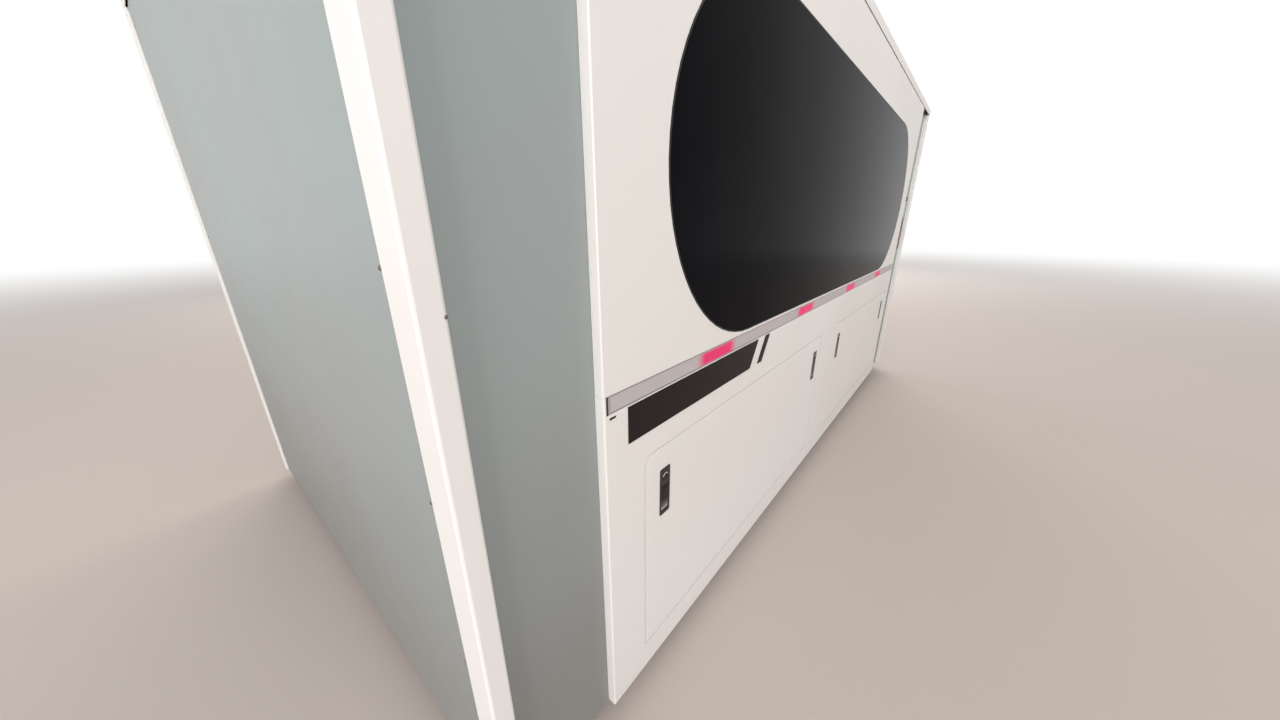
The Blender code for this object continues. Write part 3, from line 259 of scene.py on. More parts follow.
def merged(node):
    """A plain copy of a solid's mesh with its corners joined, because a solid is loose triangles."""
    mesh = bmesh.new()
    mesh.from_mesh(frame["nodes"][node].data)
    bmesh.ops.remove_doubles(mesh, verts=mesh.verts, dist=0.00002)
    return mesh


def piece_of(name, mesh, finish, sharp=35):
    """An object made of a finished bmesh, smooth but for edges over the sharp angle."""
    data = bpy.data.meshes.new(name)
    mesh.to_mesh(data)
    mesh.free()
    data.shade_smooth()
    data.set_sharp_from_angle(angle=math.radians(sharp))
    data.materials.clear()
    data.materials.append(finish.material)
    piece = bpy.data.objects.new(name, data)
    bpy.context.scene.collection.objects.link(piece)
    return piece


def plain(piece):
    """Turns a piece's modifiers into plain mesh."""
    bpy.context.view_layer.update()
    mesh = bpy.data.meshes.new_from_object(piece.evaluated_get(bpy.context.evaluated_depsgraph_get()))
    piece.modifiers.clear()
    piece.data = mesh
    return piece


def fasten(piece, node):
    """Lets a piece ride on a solid's body."""
    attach(piece, frame["nodes"][node]["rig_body"])
    return piece


def eased(node, finish, radius, steps=2):
    """A finished copy of a solid, with each hard edge rounded as its fold or cut is."""
    piece = piece_of(node + "_finished", merged(node), finish)
    edges = piece.modifiers.new("edges", "BEVEL")
    edges.width = radius
    edges.segments = steps
    edges.limit_method = "ANGLE"
    edges.angle_limit = math.radians(30)
    normals = piece.modifiers.new("normals", "WEIGHTED_NORMAL")
    normals.keep_sharp = True
    fasten(plain(piece), node)
    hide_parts(node)
    return piece


sheet_edge = 0.0007
ends = ("left", "right")
for end in ends:
    for side in ("front", "rear"):
        eased(f"corner_post_{side}_{end}", white_coat, sheet_edge)
eased("roof", white_coat, sheet_edge)


# Small screws hold the posts, the roof tray and the service panels. Each head is a low dome with a
# round socket. One tree of Geometry Nodes sets a row of them between two points.
class Growth:
    """A tree of Geometry Nodes with named inputs, which ends in plain mesh."""

    def __init__(self, name, **inputs):
        self.tree = bpy.data.node_groups.new(name, "GeometryNodeTree")
        self.sockets = {}
        for label, kind in inputs.items():
            socket = self.tree.interface.new_socket(label, in_out="INPUT", socket_type="NodeSocket" + kind)
            self.sockets[label] = socket.identifier
        self.tree.interface.new_socket("Geometry", in_out="OUTPUT", socket_type="NodeSocketGeometry")
        self.inputs = self.tree.nodes.new("NodeGroupInput")

    def given(self, label):
        """What the caller gives for a named input."""
        return Wire(self.inputs.outputs[label])

    def node(self, kind, settings=(), sockets=(), output=0):
        """A node of one type in this tree."""
        return add_node(self.tree, kind, settings, sockets, output)

    def in_line(self, shape, turn, **more):
        """Copies of a shape along the line that Start, Step and Count give, each turned alike."""
        points = self.node("GeometryNodeMeshLine", {"mode": "OFFSET"}, {
            "Count": self.given("Count"), "Start Location": self.given("Start"),
            "Offset": self.given("Step")})
        turned = self.node("FunctionNodeEulerToRotation", sockets={"Euler": self.given(turn)})
        return self.node("GeometryNodeInstanceOnPoints", sockets={
            "Points": points, "Instance": shape, "Rotation": turned, **more})

    def close(self, shape):
        """Ends the tree in Realize Instances and Set Material."""
        real = self.node("GeometryNodeRealizeInstances", sockets={"Geometry": shape})
        painted = self.node("GeometryNodeSetMaterial",
                            sockets={"Geometry": real, "Material": self.given("Finish")})
        end = self.tree.nodes.new("NodeGroupOutput")
        self.tree.links.new(painted.socket, end.inputs["Geometry"])

    def grow(self, name, finish, rows):
        """One plain piece from rows of values for the named inputs."""
        whole = bmesh.new()
        seed = bpy.data.objects.new(name + "_seed", bpy.data.meshes.new(name + "_seed"))
        bpy.context.scene.collection.objects.link(seed)
        for values in rows:
            growth = seed.modifiers.new("growth", "NODES")
            growth.node_group = self.tree
            for label, value in dict(values, Finish=finish.material).items():
                growth[self.sockets[label]] = value
            plain(seed)
            whole.from_mesh(seed.data)
        bpy.data.objects.remove(seed)
        return piece_of(name, whole, finish)


screw_row = Growth("screw_row", Start="Vector", Step="Vector", Count="Int", Facing="Vector",
                   Radius="Float", Height="Float", Finish="Material")
dome_share, socket_share = 0.7, 0.6
dome = screw_row.node("GeometryNodeMeshCone", sockets={
    "Vertices": 12, "Radius Bottom": screw_row.given("Radius"), "Depth": screw_row.given("Height"),
    "Radius Top": screw_row.given("Radius") * dome_share})
dome_top = Wire(dome.socket.node.outputs["Top"])
rim = screw_row.node("GeometryNodeExtrudeMesh", {"mode": "FACES"}, {
    "Mesh": dome, "Selection": dome_top, "Offset Scale": 0.0, "Individual": False})
rim_top = Wire(rim.socket.node.outputs["Top"])
shrunk = screw_row.node("GeometryNodeScaleElements", sockets={
    "Geometry": rim, "Selection": rim_top, "Scale": socket_share})
socketed = screw_row.node("GeometryNodeExtrudeMesh", {"mode": "FACES"}, {
    "Mesh": shrunk, "Selection": rim_top, "Offset Scale": screw_row.given("Height") * -socket_share,
    "Individual": False})
screw_row.close(screw_row.in_line(socketed, "Facing"))

quarter = math.pi / 2
facing = {"front": (quarter, 0, 0), "rear": (-quarter, 0, 0), "left": (0, -quarter, 0),
          "right": (0, quarter, 0), "up": (0, 0, 0)}


def spread(first, last, count, way, radius, height):
    """Values for a row of screws from the first place to the last."""
    first, last = Vector(first), Vector(last)
    step = (last - first) / max(count - 1, 1)
    return {"Start": first, "Step": step, "Count": count, "Facing": facing[way], "Radius": radius,
            "Height": height}


steel_screw = Finish("steel_screw", (0.20, 0.19, 0.185), 0.38, 0.9)
steel_screw.feed("Roughness", 0.3 + 0.2 * steel_screw.noise(160))
post_screw, post_head, post_screws = 0.0032, 0.0012, 3
post_low, post_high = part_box("corner_post_front_left")
post_screw_low, post_screw_high = 0.392, 2.200
rows = []
for x in (post_high.x - post_screw, -post_high.x + post_screw):
    for y, way in ((post_low.y, "front"), (-post_low.y, "rear")):
        rows.append(spread((x, y, post_screw_low), (x, y, post_screw_high), post_screws, way,
                           post_screw, post_head))
roof_low, roof_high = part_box("roof")
roof_tray = 0.040
roof_face = post_high.z + roof_tray
roof_screw, roof_head, roof_inset, long_screws, short_screws = 0.006, 0.0035, 0.030, 9, 3
for y in (roof_low.y + roof_inset, roof_high.y - roof_inset):
    rows.append(spread((roof_low.x + roof_inset, y, roof_face), (roof_high.x - roof_inset, y, roof_face),
                       long_screws, "up", roof_screw, roof_head))
for x in (roof_low.x + roof_inset, roof_high.x - roof_inset):
    rows.append(spread((x, roof_low.y / 2, roof_face), (x, roof_high.y / 2, roof_face), short_screws,
                       "up", roof_screw, roof_head))
fasten(screw_row.grow("frame_screws", steel_screw, rows), "roof")

# The grey walls are folded steel trays behind and beside the cladding, screwed to the posts along
# their edges. They have a cool satin grey coat, with painted shade that darkens it towards the floor.
grey_coat = powder_coat("grey_coat", (0.302, 0.350, 0.347), (0.316, 0.334, 0.331), 0.46)
# Painted shade: the grey coat turns darker from this height down to the floor.
floor_shade_top, floor_shade_full = 1.5, 0.35
floor_shade = grey_coat.ramp(grey_coat.axis("Z") + 0.3 * grey_coat.noise(3, 2.0), floor_shade_top, floor_shade_full)
grey_coat.feed("Base Color", grey_coat.mix(floor_shade, grey_coat.drift, (0.238, 0.240, 0.230)))
for wall in ("front_wall", "rear_wall", "end_wall_left", "end_wall_right", "bulkhead"):
    eased(wall, grey_coat, sheet_edge)
wall_screw, wall_head, wall_inset = 0.0045, 0.002, 0.022
corner_gap, end_screws, rear_screws = 3 * wall_inset, 6, 10
rows = []
for end in ends:
    low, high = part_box(f"end_wall_{end}")
    x = low.x if end == "left" else high.x
    for y in (low.y + wall_inset, high.y - wall_inset):
        rows.append(spread((x, y, low.z + corner_gap), (x, y, high.z - corner_gap), end_screws, end,
                           wall_screw, wall_head))
low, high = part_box("rear_wall")
for z in (low.z + wall_inset, high.z - wall_inset):
    rows.append(spread((low.x + corner_gap, high.y, z), (high.x - corner_gap, high.y, z), rear_screws,
                       "rear", wall_screw, wall_head))
fasten(screw_row.grow("wall_screws", steel_screw, rows), "rear_wall")

# The claddings are folded from one sheet each, with the light between them. The upper one is cut
# out for the window, and the lower one for two drop-down doors and a small finger slot.
for node in ("upper_cladding", "lower_cladding", "access_door_left", "access_door_right"):
    eased(node, white_coat, sheet_edge)

# The window is a near-black laser-safe pane, bonded into a dull rubber seal. The pane's tint has
# faint cloudy depth, and its face is polished.
tinted = Finish("tinted_pane", (0.0036, 0.0034, 0.0048), 0.05, gloss=0.015)
tinted.feed("Base Color", tinted.mix(tinted.ramp(tinted.noise(1.4, 2.0), 0.45, 0.75),
                                     tinted.colour, (0.0065, 0.0062, 0.0080)))
tinted.feed("Roughness", 0.04 + 0.05 * tinted.noise(2.5))
rubber = Finish("rubber", (0.02, 0.02, 0.021), 0.65, gloss=0.3)
rubber.bump(rubber.noise(900), 0.00003)
eased("window_pane", tinted, 0.0004)
eased("window_seal", rubber, 0.0004)

# The status light is a metal channel with a milky lavender cover. Groups of lamps behind the cover
# light it pink in places, with soft ends where their light fades. The channel's ends carry painted shade.
milky = Finish("milky_cover", (0.50, 0.455, 0.46), 0.45, gloss=0.25)
lit_pitch, lit_centre, lit_half, lit_fade = 0.8105, -1.2915, 0.100, 0.030
lit_core, lit_edge = 0.012, 0.026
light_low, light_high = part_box("light_diffuser")
middle_z = (light_low.z + light_high.z) / 2
nearest = milky.node("Math", {"operation": "PINGPONG"},
                     {0: milky.axis("X") - lit_centre, 1: lit_pitch / 2})
along = milky.ramp(nearest, lit_half + lit_fade, lit_half - lit_fade)
off_middle = milky.node("Math", {"operation": "ABSOLUTE"}, {0: milky.axis("Z") - middle_z})
lit = along * milky.ramp(off_middle, lit_edge, lit_core) * (0.85 + 0.3 * milky.noise(40))
milky.feed("Base Color", milky.mix(lit, milky.colour, (0.10, 0.004, 0.012)))
milky.feed("Emission Color", milky.mix(lit, (0, 0, 0), (0.66, 0.024, 0.132)))
milky.shader.inputs["Emission Strength"].default_value = 1.0
milky.feed("Roughness", 0.42 + 0.08 * milky.noise(30))
channel_low, channel_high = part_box("light_channel")
dark_end = 0.0045
channel_metal = Finish("channel_metal", (0.33, 0.30, 0.30), 0.45, 0.4)
# Painted shade: the channel is dark within a few millimetres of each end, as the shaded gap there.
unshaded_span = channel_metal.within("X", channel_low.x + dark_end, channel_high.x - dark_end)
channel_metal.feed("Base Color", channel_metal.mix(unshaded_span, (0.045, 0.035, 0.035), (0.43, 0.39, 0.395)))
channel_metal.feed("Roughness", 0.4 + 0.1 * channel_metal.noise(60, 2.0, (1, 8, 8)))
eased("light_channel", channel_metal, 0.0003)
eased("light_diffuser", milky, 0.0004)

# The inlays are black acrylic, laser cut with slanted ends and stuck on under the light. They keep
# a warm polished black with faint wiping marks.
acrylic = Finish("acrylic", (0.022, 0.0165, 0.0165), 0.28, gloss=0.05)
acrylic.feed("Roughness", 0.24 + 0.08 * acrylic.noise(5, 1.0, (1, 1, 3)))
eased("inlay_plate", acrylic, 0.0003)
eased("inlay_bar", acrylic, 0.0003)

# Each latch is a dark plated body with a key ring above and a sprung paddle in its pocket. The
# paddle is dark with a painted highlight round its heel, and the ring's top carries a painted highlight.
plated = Finish("plated", (0.030, 0.022, 0.022), 0.34, gloss=0.3)
plated.feed("Roughness", 0.28 + 0.14 * plated.noise(120))
paddle_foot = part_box("latch_paddle_left_left")[0].z
tip_bright, highlight_low, highlight_high = paddle_foot + 0.008, paddle_foot + 0.020, paddle_foot + 0.040
paddle_highlit = Finish("paddle_highlit", (0.05, 0.045, 0.05), 0.25, 0.9)
# Painted highlight: the paddle lightens round its heel and is lightest at its tip.
heel = paddle_highlit.ramp(paddle_highlit.axis("Z"), highlight_high, highlight_low)
tip = paddle_highlit.ramp(paddle_highlit.axis("Z"), highlight_low, tip_bright)
painted_heel_colour = paddle_highlit.mix(heel, (0.026, 0.020, 0.022), (0.15, 0.135, 0.17))
paddle_highlit.feed("Base Color", paddle_highlit.mix(tip, painted_heel_colour, (0.55, 0.53, 0.56)))
paddle_highlit.feed("Roughness", 0.24 + 0.10 * paddle_highlit.noise(25, 2.0))
key_radius, key_drop = 0.0125, 0.029
key_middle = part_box("latch_body_left_left")[1].z - key_drop
key_profile = [(key_radius - 0.0032, 0.0), (key_radius - 0.0028, -0.0003), (key_radius - 0.0006, -0.0003),
               (key_radius - 0.0002, 0.0004)]
ring_highlit = Finish("ring_painted_highlight", (0.030, 0.022, 0.022), 0.3, 0.9, gloss=0.3)
# Painted highlight: the ring is light round the top of its arc.
top_arc_highlight = ring_highlit.ramp(ring_highlit.axis("Z"), key_middle + 0.001, key_middle + 0.006)
ring_highlit.feed("Base Color", ring_highlit.mix(top_arc_highlight, ring_highlit.colour, (0.66, 0.64, 0.64)))
ring_highlit.feed("Roughness", 0.24 + 0.1 * ring_highlit.noise(150))


def turned_ring(name, centre, profile, finish, node):
    """A ring about an axis along Y, turned from pairs of radius and depth, that rides with a solid."""
    ring = bmesh.new()
    turns = 40
    angles = [2 * math.pi * step / turns for step in range(turns)]
    loops = [[ring.verts.new(centre + Vector((radius * math.cos(angle), depth, radius * math.sin(angle))))
              for angle in angles] for radius, depth in profile]
    for first, second in zip(loops, loops[1:] + loops[:1]):
        for index in range(turns):
            ring.faces.new((first[index - 1], first[index], second[index], second[index - 1]))
    bmesh.ops.recalc_face_normals(ring, faces=ring.faces)
    fasten(piece_of(name, ring, finish), node)


for side in ends:
    for end in ends:
        label = f"{side}_{end}"
        eased(f"latch_body_{label}", plated, 0.0004)
        eased(f"latch_paddle_{label}", paddle_highlit, 0.0004)
        low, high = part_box(f"latch_body_{label}")
        centre = Vector(((low.x + high.x) / 2, low.y, high.z - key_drop))
        turned_ring(f"key_ring_{label}", centre, key_profile, ring_highlit, f"latch_body_{label}")

# The welded bed stands on levelling feet and carries two galvanised slag drawers.
bed_coat = powder_coat("bed_coat", (0.19, 0.21, 0.22), (0.17, 0.19, 0.205), 0.5)
zinc = Finish("zinc", (0.50, 0.52, 0.54), 0.42, 1.0)
spangle = zinc.node("TexVoronoi", sockets={"Vector": zinc.place, "Scale": 55.0}, output="Distance")
zinc.feed("Base Color", zinc.mix(zinc.ramp(spangle, 0.1, 0.8), (0.56, 0.58, 0.60), (0.42, 0.44, 0.46)))
zinc.feed("Roughness", 0.34 + 0.22 * spangle)
eased("bed_frame", bed_coat, 0.001)
for side in ends:
    eased(f"slag_drawer_{side}", zinc, 0.0005)
for number in range(1, 7):
    eased(f"foot_{number}", zinc, 0.0006)

# The slats are cut from mild steel plate. Their teeth are browned by heat and spatter, and the
# frame round them is duller.
slat_steel = Finish("slat_steel", (0.30, 0.27, 0.25), 0.55, 0.8)
tooth_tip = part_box("slat_table")[1].z
browned_low, browned_high = tooth_tip - 0.030, tooth_tip + 0.004
burnt = slat_steel.ramp(slat_steel.axis("Z") + 0.012 * slat_steel.noise(60, 4.0), browned_low, browned_high)
slat_steel.feed("Base Color", slat_steel.mix(burnt, (0.31, 0.285, 0.265), (0.085, 0.060, 0.045)))
slat_steel.feed("Roughness", 0.45 + 0.25 * slat_steel.noise(35, 3.0))
slat_steel.bump(slat_steel.noise(400, 2.0), 0.0001)
eased("slat_table", slat_steel, 0.0004)

# Ground guide rails run along the bed, with a capped bolt hole at each pitch. A gear rack is bolted
# to the bed beside each of them, and the drive pinions run along it.
ground_steel = Finish("ground_steel", (0.45, 0.45, 0.46), 0.28, 1.0)
ground_steel.feed("Roughness", 0.2 + 0.2 * ground_steel.noise(25, 2.0, (1, 20, 20)))
cap_plastic = Finish("cap_plastic", (0.06, 0.06, 0.065), 0.5)
cap_plastic.feed("Roughness", 0.45 + 0.1 * cap_plastic.noise(80))
for node in ("rail_front", "rail_rear", "door_rod_left", "door_rod_right", "service_door_rod"):
    eased(node, ground_steel, 0.0002)
rail_bolt_pitch, rail_cap, cap_rise = 0.080, 0.0055, 0.0003
rows = []
for side in ("front", "rear"):
    low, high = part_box(f"rail_{side}")
    middle = (low.y + high.y) / 2
    count = int((high.x - low.x) / rail_bolt_pitch)
    first = (low.x + high.x - (count - 1) * rail_bolt_pitch) / 2
    rows.append(spread((first, middle, high.z), (first + (count - 1) * rail_bolt_pitch, middle, high.z),
                       count, "up", rail_cap, cap_rise))
fasten(screw_row.grow("rail_caps", cap_plastic, rows), "rail_front")

tooth_row = Growth("tooth_row", Start="Vector", Step="Vector", Count="Int", Tooth="Vector",
                   Turn="Vector", Finish="Material")
tooth = tooth_row.node("GeometryNodeMeshCone", {"fill_type": "NGON"}, {
    "Vertices": 4, "Radius Top": 0.45, "Radius Bottom": 0.80, "Depth": 1.0})
square = tooth_row.node("GeometryNodeTransform", sockets={"Geometry": tooth, "Rotation": (0, 0, quarter / 2)})
tooth_row.close(tooth_row.in_line(square, "Turn", Scale=tooth_row.given("Tooth")))


def block(mesh, low, high):
    """Adds a closed box between two corners to a bmesh."""
    made = bmesh.ops.create_cube(mesh, size=1.0)["verts"]
    size, middle = Vector(high) - Vector(low), (Vector(high) + Vector(low)) / 2
    bmesh.ops.scale(mesh, verts=made, vec=size)
    bmesh.ops.translate(mesh, verts=made, vec=middle)


def beaded(name, mesh, finish, radius, node):
    """A scene-made piece with eased edges that rides with a solid."""
    piece = piece_of(name, mesh, finish)
    edges = piece.modifiers.new("edges", "BEVEL")
    edges.width = radius
    edges.segments = 2
    normals = piece.modifiers.new("normals", "WEIGHTED_NORMAL")
    normals.keep_sharp = True
    return fasten(plain(piece), node)


rack_height, rack_depth, rack_pitch = 0.020, 0.014, 0.00628
tooth_size = (0.0042, 0.018, 0.0045)
rack_gap, rack_drop, bed_inner = 0.0003, 0.006, 0.860
rows = []
racks = bmesh.new()
low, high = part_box("rail_front")
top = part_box("bed_frame")[1].z - rack_drop
for side in (-1, 1):
    back, face = side * (bed_inner - rack_gap), side * (bed_inner - rack_gap - rack_depth)
    block(racks, (low.x, min(back, face), top - rack_height), (high.x, max(back, face), top))
    rows.append({"Start": (low.x + rack_pitch / 2, face, top - rack_height / 2),
                 "Step": (rack_pitch, 0, 0), "Count": int((high.x - low.x) / rack_pitch),
                 "Tooth": tooth_size, "Turn": (side * quarter, 0, 0)})
beaded("gear_racks", racks, ground_steel, 0.0005, "rail_front")
fasten(tooth_row.grow("rack_teeth", ground_steel, rows), "rail_front")

# The gantry is a bare aluminium beam with black end caps, on two trucks with a servo motor each. The
# carriage and the lifting slide ride on its rails, and one more motor stands on the carriage.
machined = (0.60, 0.61, 0.62)
motor_black = (0.022, 0.022, 0.024)


def aluminium_with_motor(name, motor_low, motor_west):
    """Brushed aluminium, and black paint above one height and past one place along X."""
    metal = Finish(name, machined, 0.36, 1.0)
    motor = metal.ramp(metal.axis("Z"), motor_low - 0.0005, motor_low + 0.0005)
    motor = motor * metal.ramp(metal.axis("X"), motor_west - 0.0005, motor_west + 0.0005)
    metal.feed("Base Color", metal.mix(motor, machined, motor_black))
    metal.feed("Metallic", 1 - motor)
    metal.feed("Roughness", 0.28 + 0.2 * metal.noise(40, 2.0, (14, 1, 14)) + 0.1 * motor)
    metal.bump(metal.noise(500, 1.0, (3, 0.3, 3)), 0.00002)
    return metal


truck_height, motor_back, motor_height = 0.0717, 0.101, 0.110
truck_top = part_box("rail_front")[1].z + truck_height
gantry_low, gantry_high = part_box("gantry_beam")
gantry_middle = (gantry_low.x + gantry_high.x) / 2
carriage_low, carriage_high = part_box("carriage")
beam_metal = aluminium_with_motor("beam_metal", truck_top + 0.0005, gantry_middle + motor_back)
carriage_metal = aluminium_with_motor("carriage_metal", carriage_high.z - motor_height, carriage_low.x - 1)
slide_metal = aluminium_with_motor("slide_metal", gantry_high.z + 1, 0)
eased("gantry_beam", beam_metal, 0.001)
eased("carriage", carriage_metal, 0.001)
eased("head_slide", slide_metal, 0.001)
cap_half, cap_low, cap_high, cap_chamfer, cap_sheet = 0.097, 0.003, 0.217, 0.019, 0.004
cap_gap, cap_screw_x, cap_screw_inset, cap_screw, cap_head = 0.0003, 0.075, 0.022, 0.006, 0.004
cap_outline = [(-cap_half, cap_low), (cap_half, cap_low), (cap_half, cap_high - cap_chamfer),
               (cap_half - cap_chamfer, cap_high), (cap_chamfer - cap_half, cap_high),
               (-cap_half, cap_high - cap_chamfer)]
beam_caps = bmesh.new()
rows = []
for side, way in ((-1, "front"), (1, "rear")):
    inner = side * (gantry_high.y + cap_gap)
    outer = inner + side * cap_sheet
    loops = [[beam_caps.verts.new((gantry_middle + x, y, truck_top + z)) for x, z in cap_outline]
             for y in (inner, outer)]
    for index in range(len(cap_outline)):
        beam_caps.faces.new((loops[0][index - 1], loops[0][index], loops[1][index], loops[1][index - 1]))
    for loop in loops:
        beam_caps.faces.new(loop)
    for z in (truck_top + cap_low + cap_screw_inset, truck_top + cap_high - cap_screw_inset):
        rows.append(spread((gantry_middle - cap_screw_x, outer, z), (gantry_middle + cap_screw_x, outer, z),
                           2, way, cap_screw, cap_head))
bmesh.ops.recalc_face_normals(beam_caps, faces=beam_caps.faces)
beaded("beam_caps", beam_caps, cap_plastic, 0.001, "gantry_beam")
fasten(screw_row.grow("beam_cap_screws", steel_screw, rows), "gantry_beam")

# The cutting head is a black anodised barrel. It has steel collars, a lens drawer with two thumb
# screws, and a copper nozzle at its tip.
head_low, head_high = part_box("cutting_head")
nozzle_top, collar_top = head_low.z + 0.032, head_low.z + 0.070
joint_ring = 0.006
anodised = Finish("anodised", (0.030, 0.030, 0.034), 0.4, 0.3)
copper = anodised.within("Z", head_low.z - 0.01, nozzle_top)
steel = anodised.within("Z", nozzle_top, collar_top)
for ring_low in (head_low.z + 0.200, head_low.z + 0.330):
    steel = steel + anodised.within("Z", ring_low, ring_low + joint_ring)
shell = anodised.mix(steel, anodised.colour, (0.52, 0.52, 0.53))
anodised.feed("Base Color", anodised.mix(copper, shell, (0.62, 0.27, 0.13)))
anodised.feed("Metallic", 0.3 + 0.7 * (copper + steel))
anodised.feed("Roughness", 0.26 + 0.16 * anodised.noise(60, 2.0, (1, 1, 8)))
eased("cutting_head", anodised, 0.0008)
head_x = (head_low.x + head_high.x) / 2
head_radius = (head_high.x - head_low.x) / 2
drawer = bmesh.new()
drawer_low, drawer_high, drawer_half = head_low.z + 0.225, head_low.z + 0.262, 0.028
drawer_out, drawer_depth = 0.012, 0.026
drawer_face = head_x - head_radius - drawer_out
block(drawer, (drawer_face, -drawer_half, drawer_low), (drawer_face + drawer_depth, drawer_half, drawer_high))
beaded("lens_drawer", drawer, slide_metal, 0.0015, "cutting_head")
screw_z = (drawer_low + drawer_high) / 2
thumb_y, thumb_screw, thumb_head = 0.018, 0.005, 0.006
rows = [spread((drawer_face, -thumb_y, screw_z), (drawer_face, thumb_y, screw_z), 2, "left", thumb_screw,
               thumb_head)]
fasten(screw_row.grow("lens_drawer_screws", steel_screw, rows), "cutting_head")

# The loading side has two sliding doors. Each has a dark pane behind a black gasket, and a bright
# cup pull.
gasket_strip = Growth("gasket_strip", Middle="Vector", Width="Float", Height="Float", Corner="Float",
                      Section="Float", Finish="Material")
path = gasket_strip.node("GeometryNodeCurvePrimitiveQuadrilateral", sockets={
    "Width": gasket_strip.given("Width"), "Height": gasket_strip.given("Height")})
path = gasket_strip.node("GeometryNodeFilletCurve", {"mode": "POLY"}, {
    "Curve": path, "Count": 8, "Radius": gasket_strip.given("Corner")})
section = gasket_strip.node("GeometryNodeCurvePrimitiveCircle", sockets={
    "Resolution": 8, "Radius": gasket_strip.given("Section")})
strip = gasket_strip.node("GeometryNodeCurveToMesh", sockets={"Curve": path, "Profile Curve": section})
gasket_strip.close(gasket_strip.node("GeometryNodeTransform", sockets={
    "Geometry": strip, "Translation": gasket_strip.given("Middle"), "Rotation": (quarter, 0, 0)}))
pane_lap, gasket_section, gasket_out, gasket_corner, gasket_clear = 0.018, 0.0028, 0.0014, 0.0585, 0.003
for side in ends:
    eased(f"loading_door_{side}", white_coat, sheet_edge)
    eased(f"loading_window_{side}", tinted, 0.0004)
    eased(f"door_pull_{side}", ground_steel, 0.0004)
    low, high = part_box(f"loading_window_{side}")
    middle = (low + high) / 2
    values = {"Middle": (middle.x, high.y + gasket_out, middle.z), "Corner": gasket_corner,
              "Width": high.x - low.x - 2 * pane_lap - gasket_clear,
              "Height": high.z - low.z - 2 * pane_lap - gasket_clear, "Section": gasket_section}
    fasten(gasket_strip.grow(f"pane_gasket_{side}", rubber, [values]), f"loading_door_{side}")

# The service end holds the electrical cabinet with its rows of breakers, and below it the laser
# source, a white box with a finned front. Both stand on the bulkhead behind the louvred door.
eased("service_door", grey_coat, sheet_edge)
cabinet_low, cabinet_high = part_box("electrical_cabinet")
cabinet_depth, breaker_depth, cabinet_rim = 0.206, 0.146, 0.03
cabinet_floor = cabinet_high.x - cabinet_depth
breaker_face = cabinet_high.x - breaker_depth
row_pitch = (cabinet_high.z - cabinet_low.z) / 3
breaker_rows = [cabinet_low.z + (row + 0.5) * row_pitch for row in range(3)]
cabinet_coat = Finish("cabinet_coat", (0.50, 0.51, 0.50), 0.45)
modules = cabinet_coat.within("X", cabinet_floor + 0.001, breaker_face + 0.001)
modules = modules * cabinet_coat.within("Y", cabinet_low.y + cabinet_rim, cabinet_high.y - cabinet_rim)
modules = modules * cabinet_coat.within("Z", cabinet_low.z + cabinet_rim, cabinet_high.z - cabinet_rim)
cabinet_coat.feed("Base Color", cabinet_coat.mix(modules, cabinet_coat.colour, (0.045, 0.047, 0.052)))
cabinet_coat.feed("Roughness", 0.38 + 0.15 * cabinet_coat.noise(30))
cabinet_coat.bump(cabinet_coat.noise(500, 1.0), 0.00002)
eased("electrical_cabinet", cabinet_coat, 0.0008)
toggle_plastic = Finish("toggle_plastic", (0.55, 0.56, 0.57), 0.4)
toggle_plastic.feed("Roughness", 0.35 + 0.1 * toggle_plastic.noise(50))
breaker_pitch, breaker_count, toggle_size = 0.060, 9, (0.022, 0.014, 0.009)
rows = [{"Start": (breaker_face, -breaker_pitch * (breaker_count - 1) / 2, z), "Step": (0, breaker_pitch, 0),
         "Count": breaker_count, "Tooth": toggle_size, "Turn": (0, quarter, 0)} for z in breaker_rows]
fasten(tooth_row.grow("breaker_toggles", toggle_plastic, rows), "electrical_cabinet")
ducts = bmesh.new()
duct_height, duct_depth, duct_half, duct_seat, slots_per_metre = 0.040, 0.050, 0.28, 0.0003, 100
duct_places = [(first + second) / 2 for first, second in zip(breaker_rows, breaker_rows[1:])]
for z in duct_places:
    block(ducts, (cabinet_floor + duct_seat, -duct_half, z - duct_height / 2),
          (cabinet_floor + duct_depth, duct_half, z + duct_height / 2))
duct_grey = Finish("duct_grey", (0.36, 0.37, 0.38), 0.5)
slots = duct_grey.node("Math", {"operation": "FRACT"}, {0: duct_grey.axis("Y") * slots_per_metre})
slots = duct_grey.ramp(slots, 0.62, 0.68)
slots = slots * duct_grey.within("X", cabinet_floor, cabinet_floor + duct_depth - 0.002)
duct_grey.feed("Base Color", duct_grey.mix(slots, duct_grey.colour, (0.03, 0.03, 0.03)))
beaded("wire_ducts", ducts, duct_grey, 0.001, "electrical_cabinet")
eased("laser_source", white_coat, 0.001)

# The operator panel is a dark plate with a small screen, an emergency stop on a yellow ring, and a
# green start button. The screen shows a plain generic layout of pale fields.
panel_plastic = Finish("panel_plastic", (0.032, 0.034, 0.038), 0.45)
panel_plastic.feed("Roughness", 0.4 + 0.12 * panel_plastic.noise(20))
panel_plastic.bump(panel_plastic.noise(1200, 1.0), 0.00003)
eased("control_panel", panel_plastic, 0.0008)
screen_low, screen_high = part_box("control_screen")
screen_glow = Finish("screen_glow", (0.01, 0.012, 0.016), 0.12)
edge, margin, plan_width, plan_low, bar_high = 0.010, 0.012, 0.120, 0.035, 0.026
left, field_top = screen_low.x + edge, screen_high.z - margin
beside = screen_glow.within("X", left, left + plan_width)
plan = beside * screen_glow.within("Z", screen_low.z + plan_low, field_top)
key_low, key_pitch = screen_low.z + edge, 0.0256
keys = screen_glow.node("Math", {"operation": "FRACT"}, {0: (screen_glow.axis("Z") - key_low) / key_pitch})
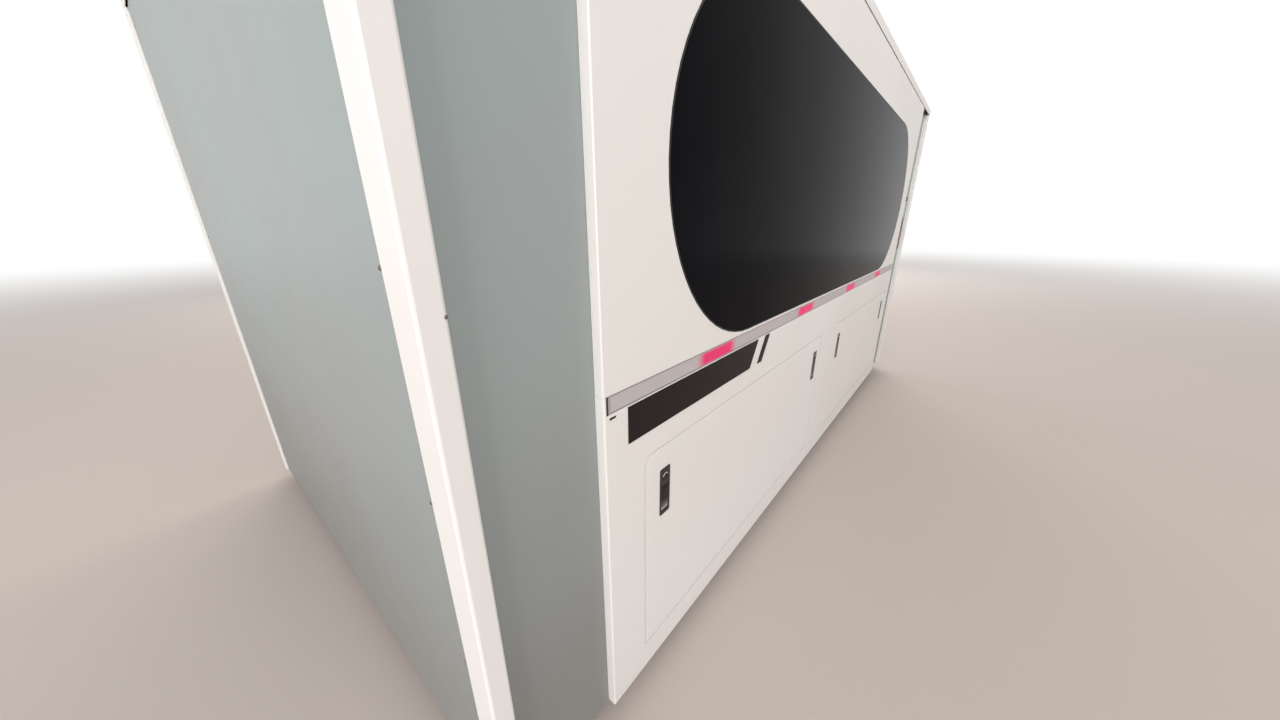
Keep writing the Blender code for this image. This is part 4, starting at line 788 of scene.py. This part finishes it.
keys = screen_glow.ramp(keys, 0.18, 0.22) * screen_glow.within("Z", key_low, field_top)
keys = keys * screen_glow.within("X", left + plan_width + edge, screen_high.x - edge)
bar = beside * screen_glow.within("Z", screen_low.z + margin, screen_low.z + bar_high)
shade = screen_glow.mix(plan, (0.012, 0.020, 0.035), (0.10, 0.17, 0.26))
shade = screen_glow.mix(keys, shade, (0.05, 0.22, 0.30))
screen_glow.feed("Emission Color", screen_glow.mix(bar, shade, (0.16, 0.20, 0.24)))
screen_glow.shader.inputs["Emission Strength"].default_value = 1.0
eased("control_screen", screen_glow, 0.0003)
red = Finish("stop_red", (0.55, 0.02, 0.02), 0.3)
red.feed("Roughness", 0.26 + 0.1 * red.noise(60))
bright = Finish("bright", (0.40, 0.385, 0.37), 0.24, 1.0)
bright.feed("Roughness", 0.2 + 0.1 * bright.noise(90))
green = Finish("start_green", (0.02, 0.30, 0.08), 0.3)
green.feed("Roughness", 0.26 + 0.1 * green.noise(60))
yellow = Finish("ring_yellow", (0.72, 0.48, 0.02), 0.4)
yellow.feed("Roughness", 0.36 + 0.1 * yellow.noise(60))
eased("stop_button", red, 0.001)
eased("start_button", green, 0.0006)
panel_low, panel_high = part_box("control_panel")
collar_bore, collar_seat, collar_sheet = 0.0095, 0.0001, 0.0008
for name, finish, outer in (("stop", yellow, 0.030), ("start", bright, 0.0165)):
    low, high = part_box(f"{name}_button")
    centre = Vector(((low.x + high.x) / 2, panel_low.y, (low.z + high.z) / 2))
    profile = [(collar_bore, -collar_seat), (collar_bore, -collar_sheet),
               (outer - collar_sheet, -collar_sheet), (outer, -collar_seat)]
    turned_ring(f"{name}_collar", centre, profile, finish, "control_panel")
corner, panel_screw, panel_head = 0.012, 0.0032, 0.0015
rows = [spread((panel_low.x + corner, panel_low.y, z), (panel_high.x - corner, panel_low.y, z), 2, "front",
               panel_screw, panel_head) for z in (panel_low.z + corner, panel_high.z - corner)]
fasten(screw_row.grow("panel_screws", steel_screw, rows), "control_panel")
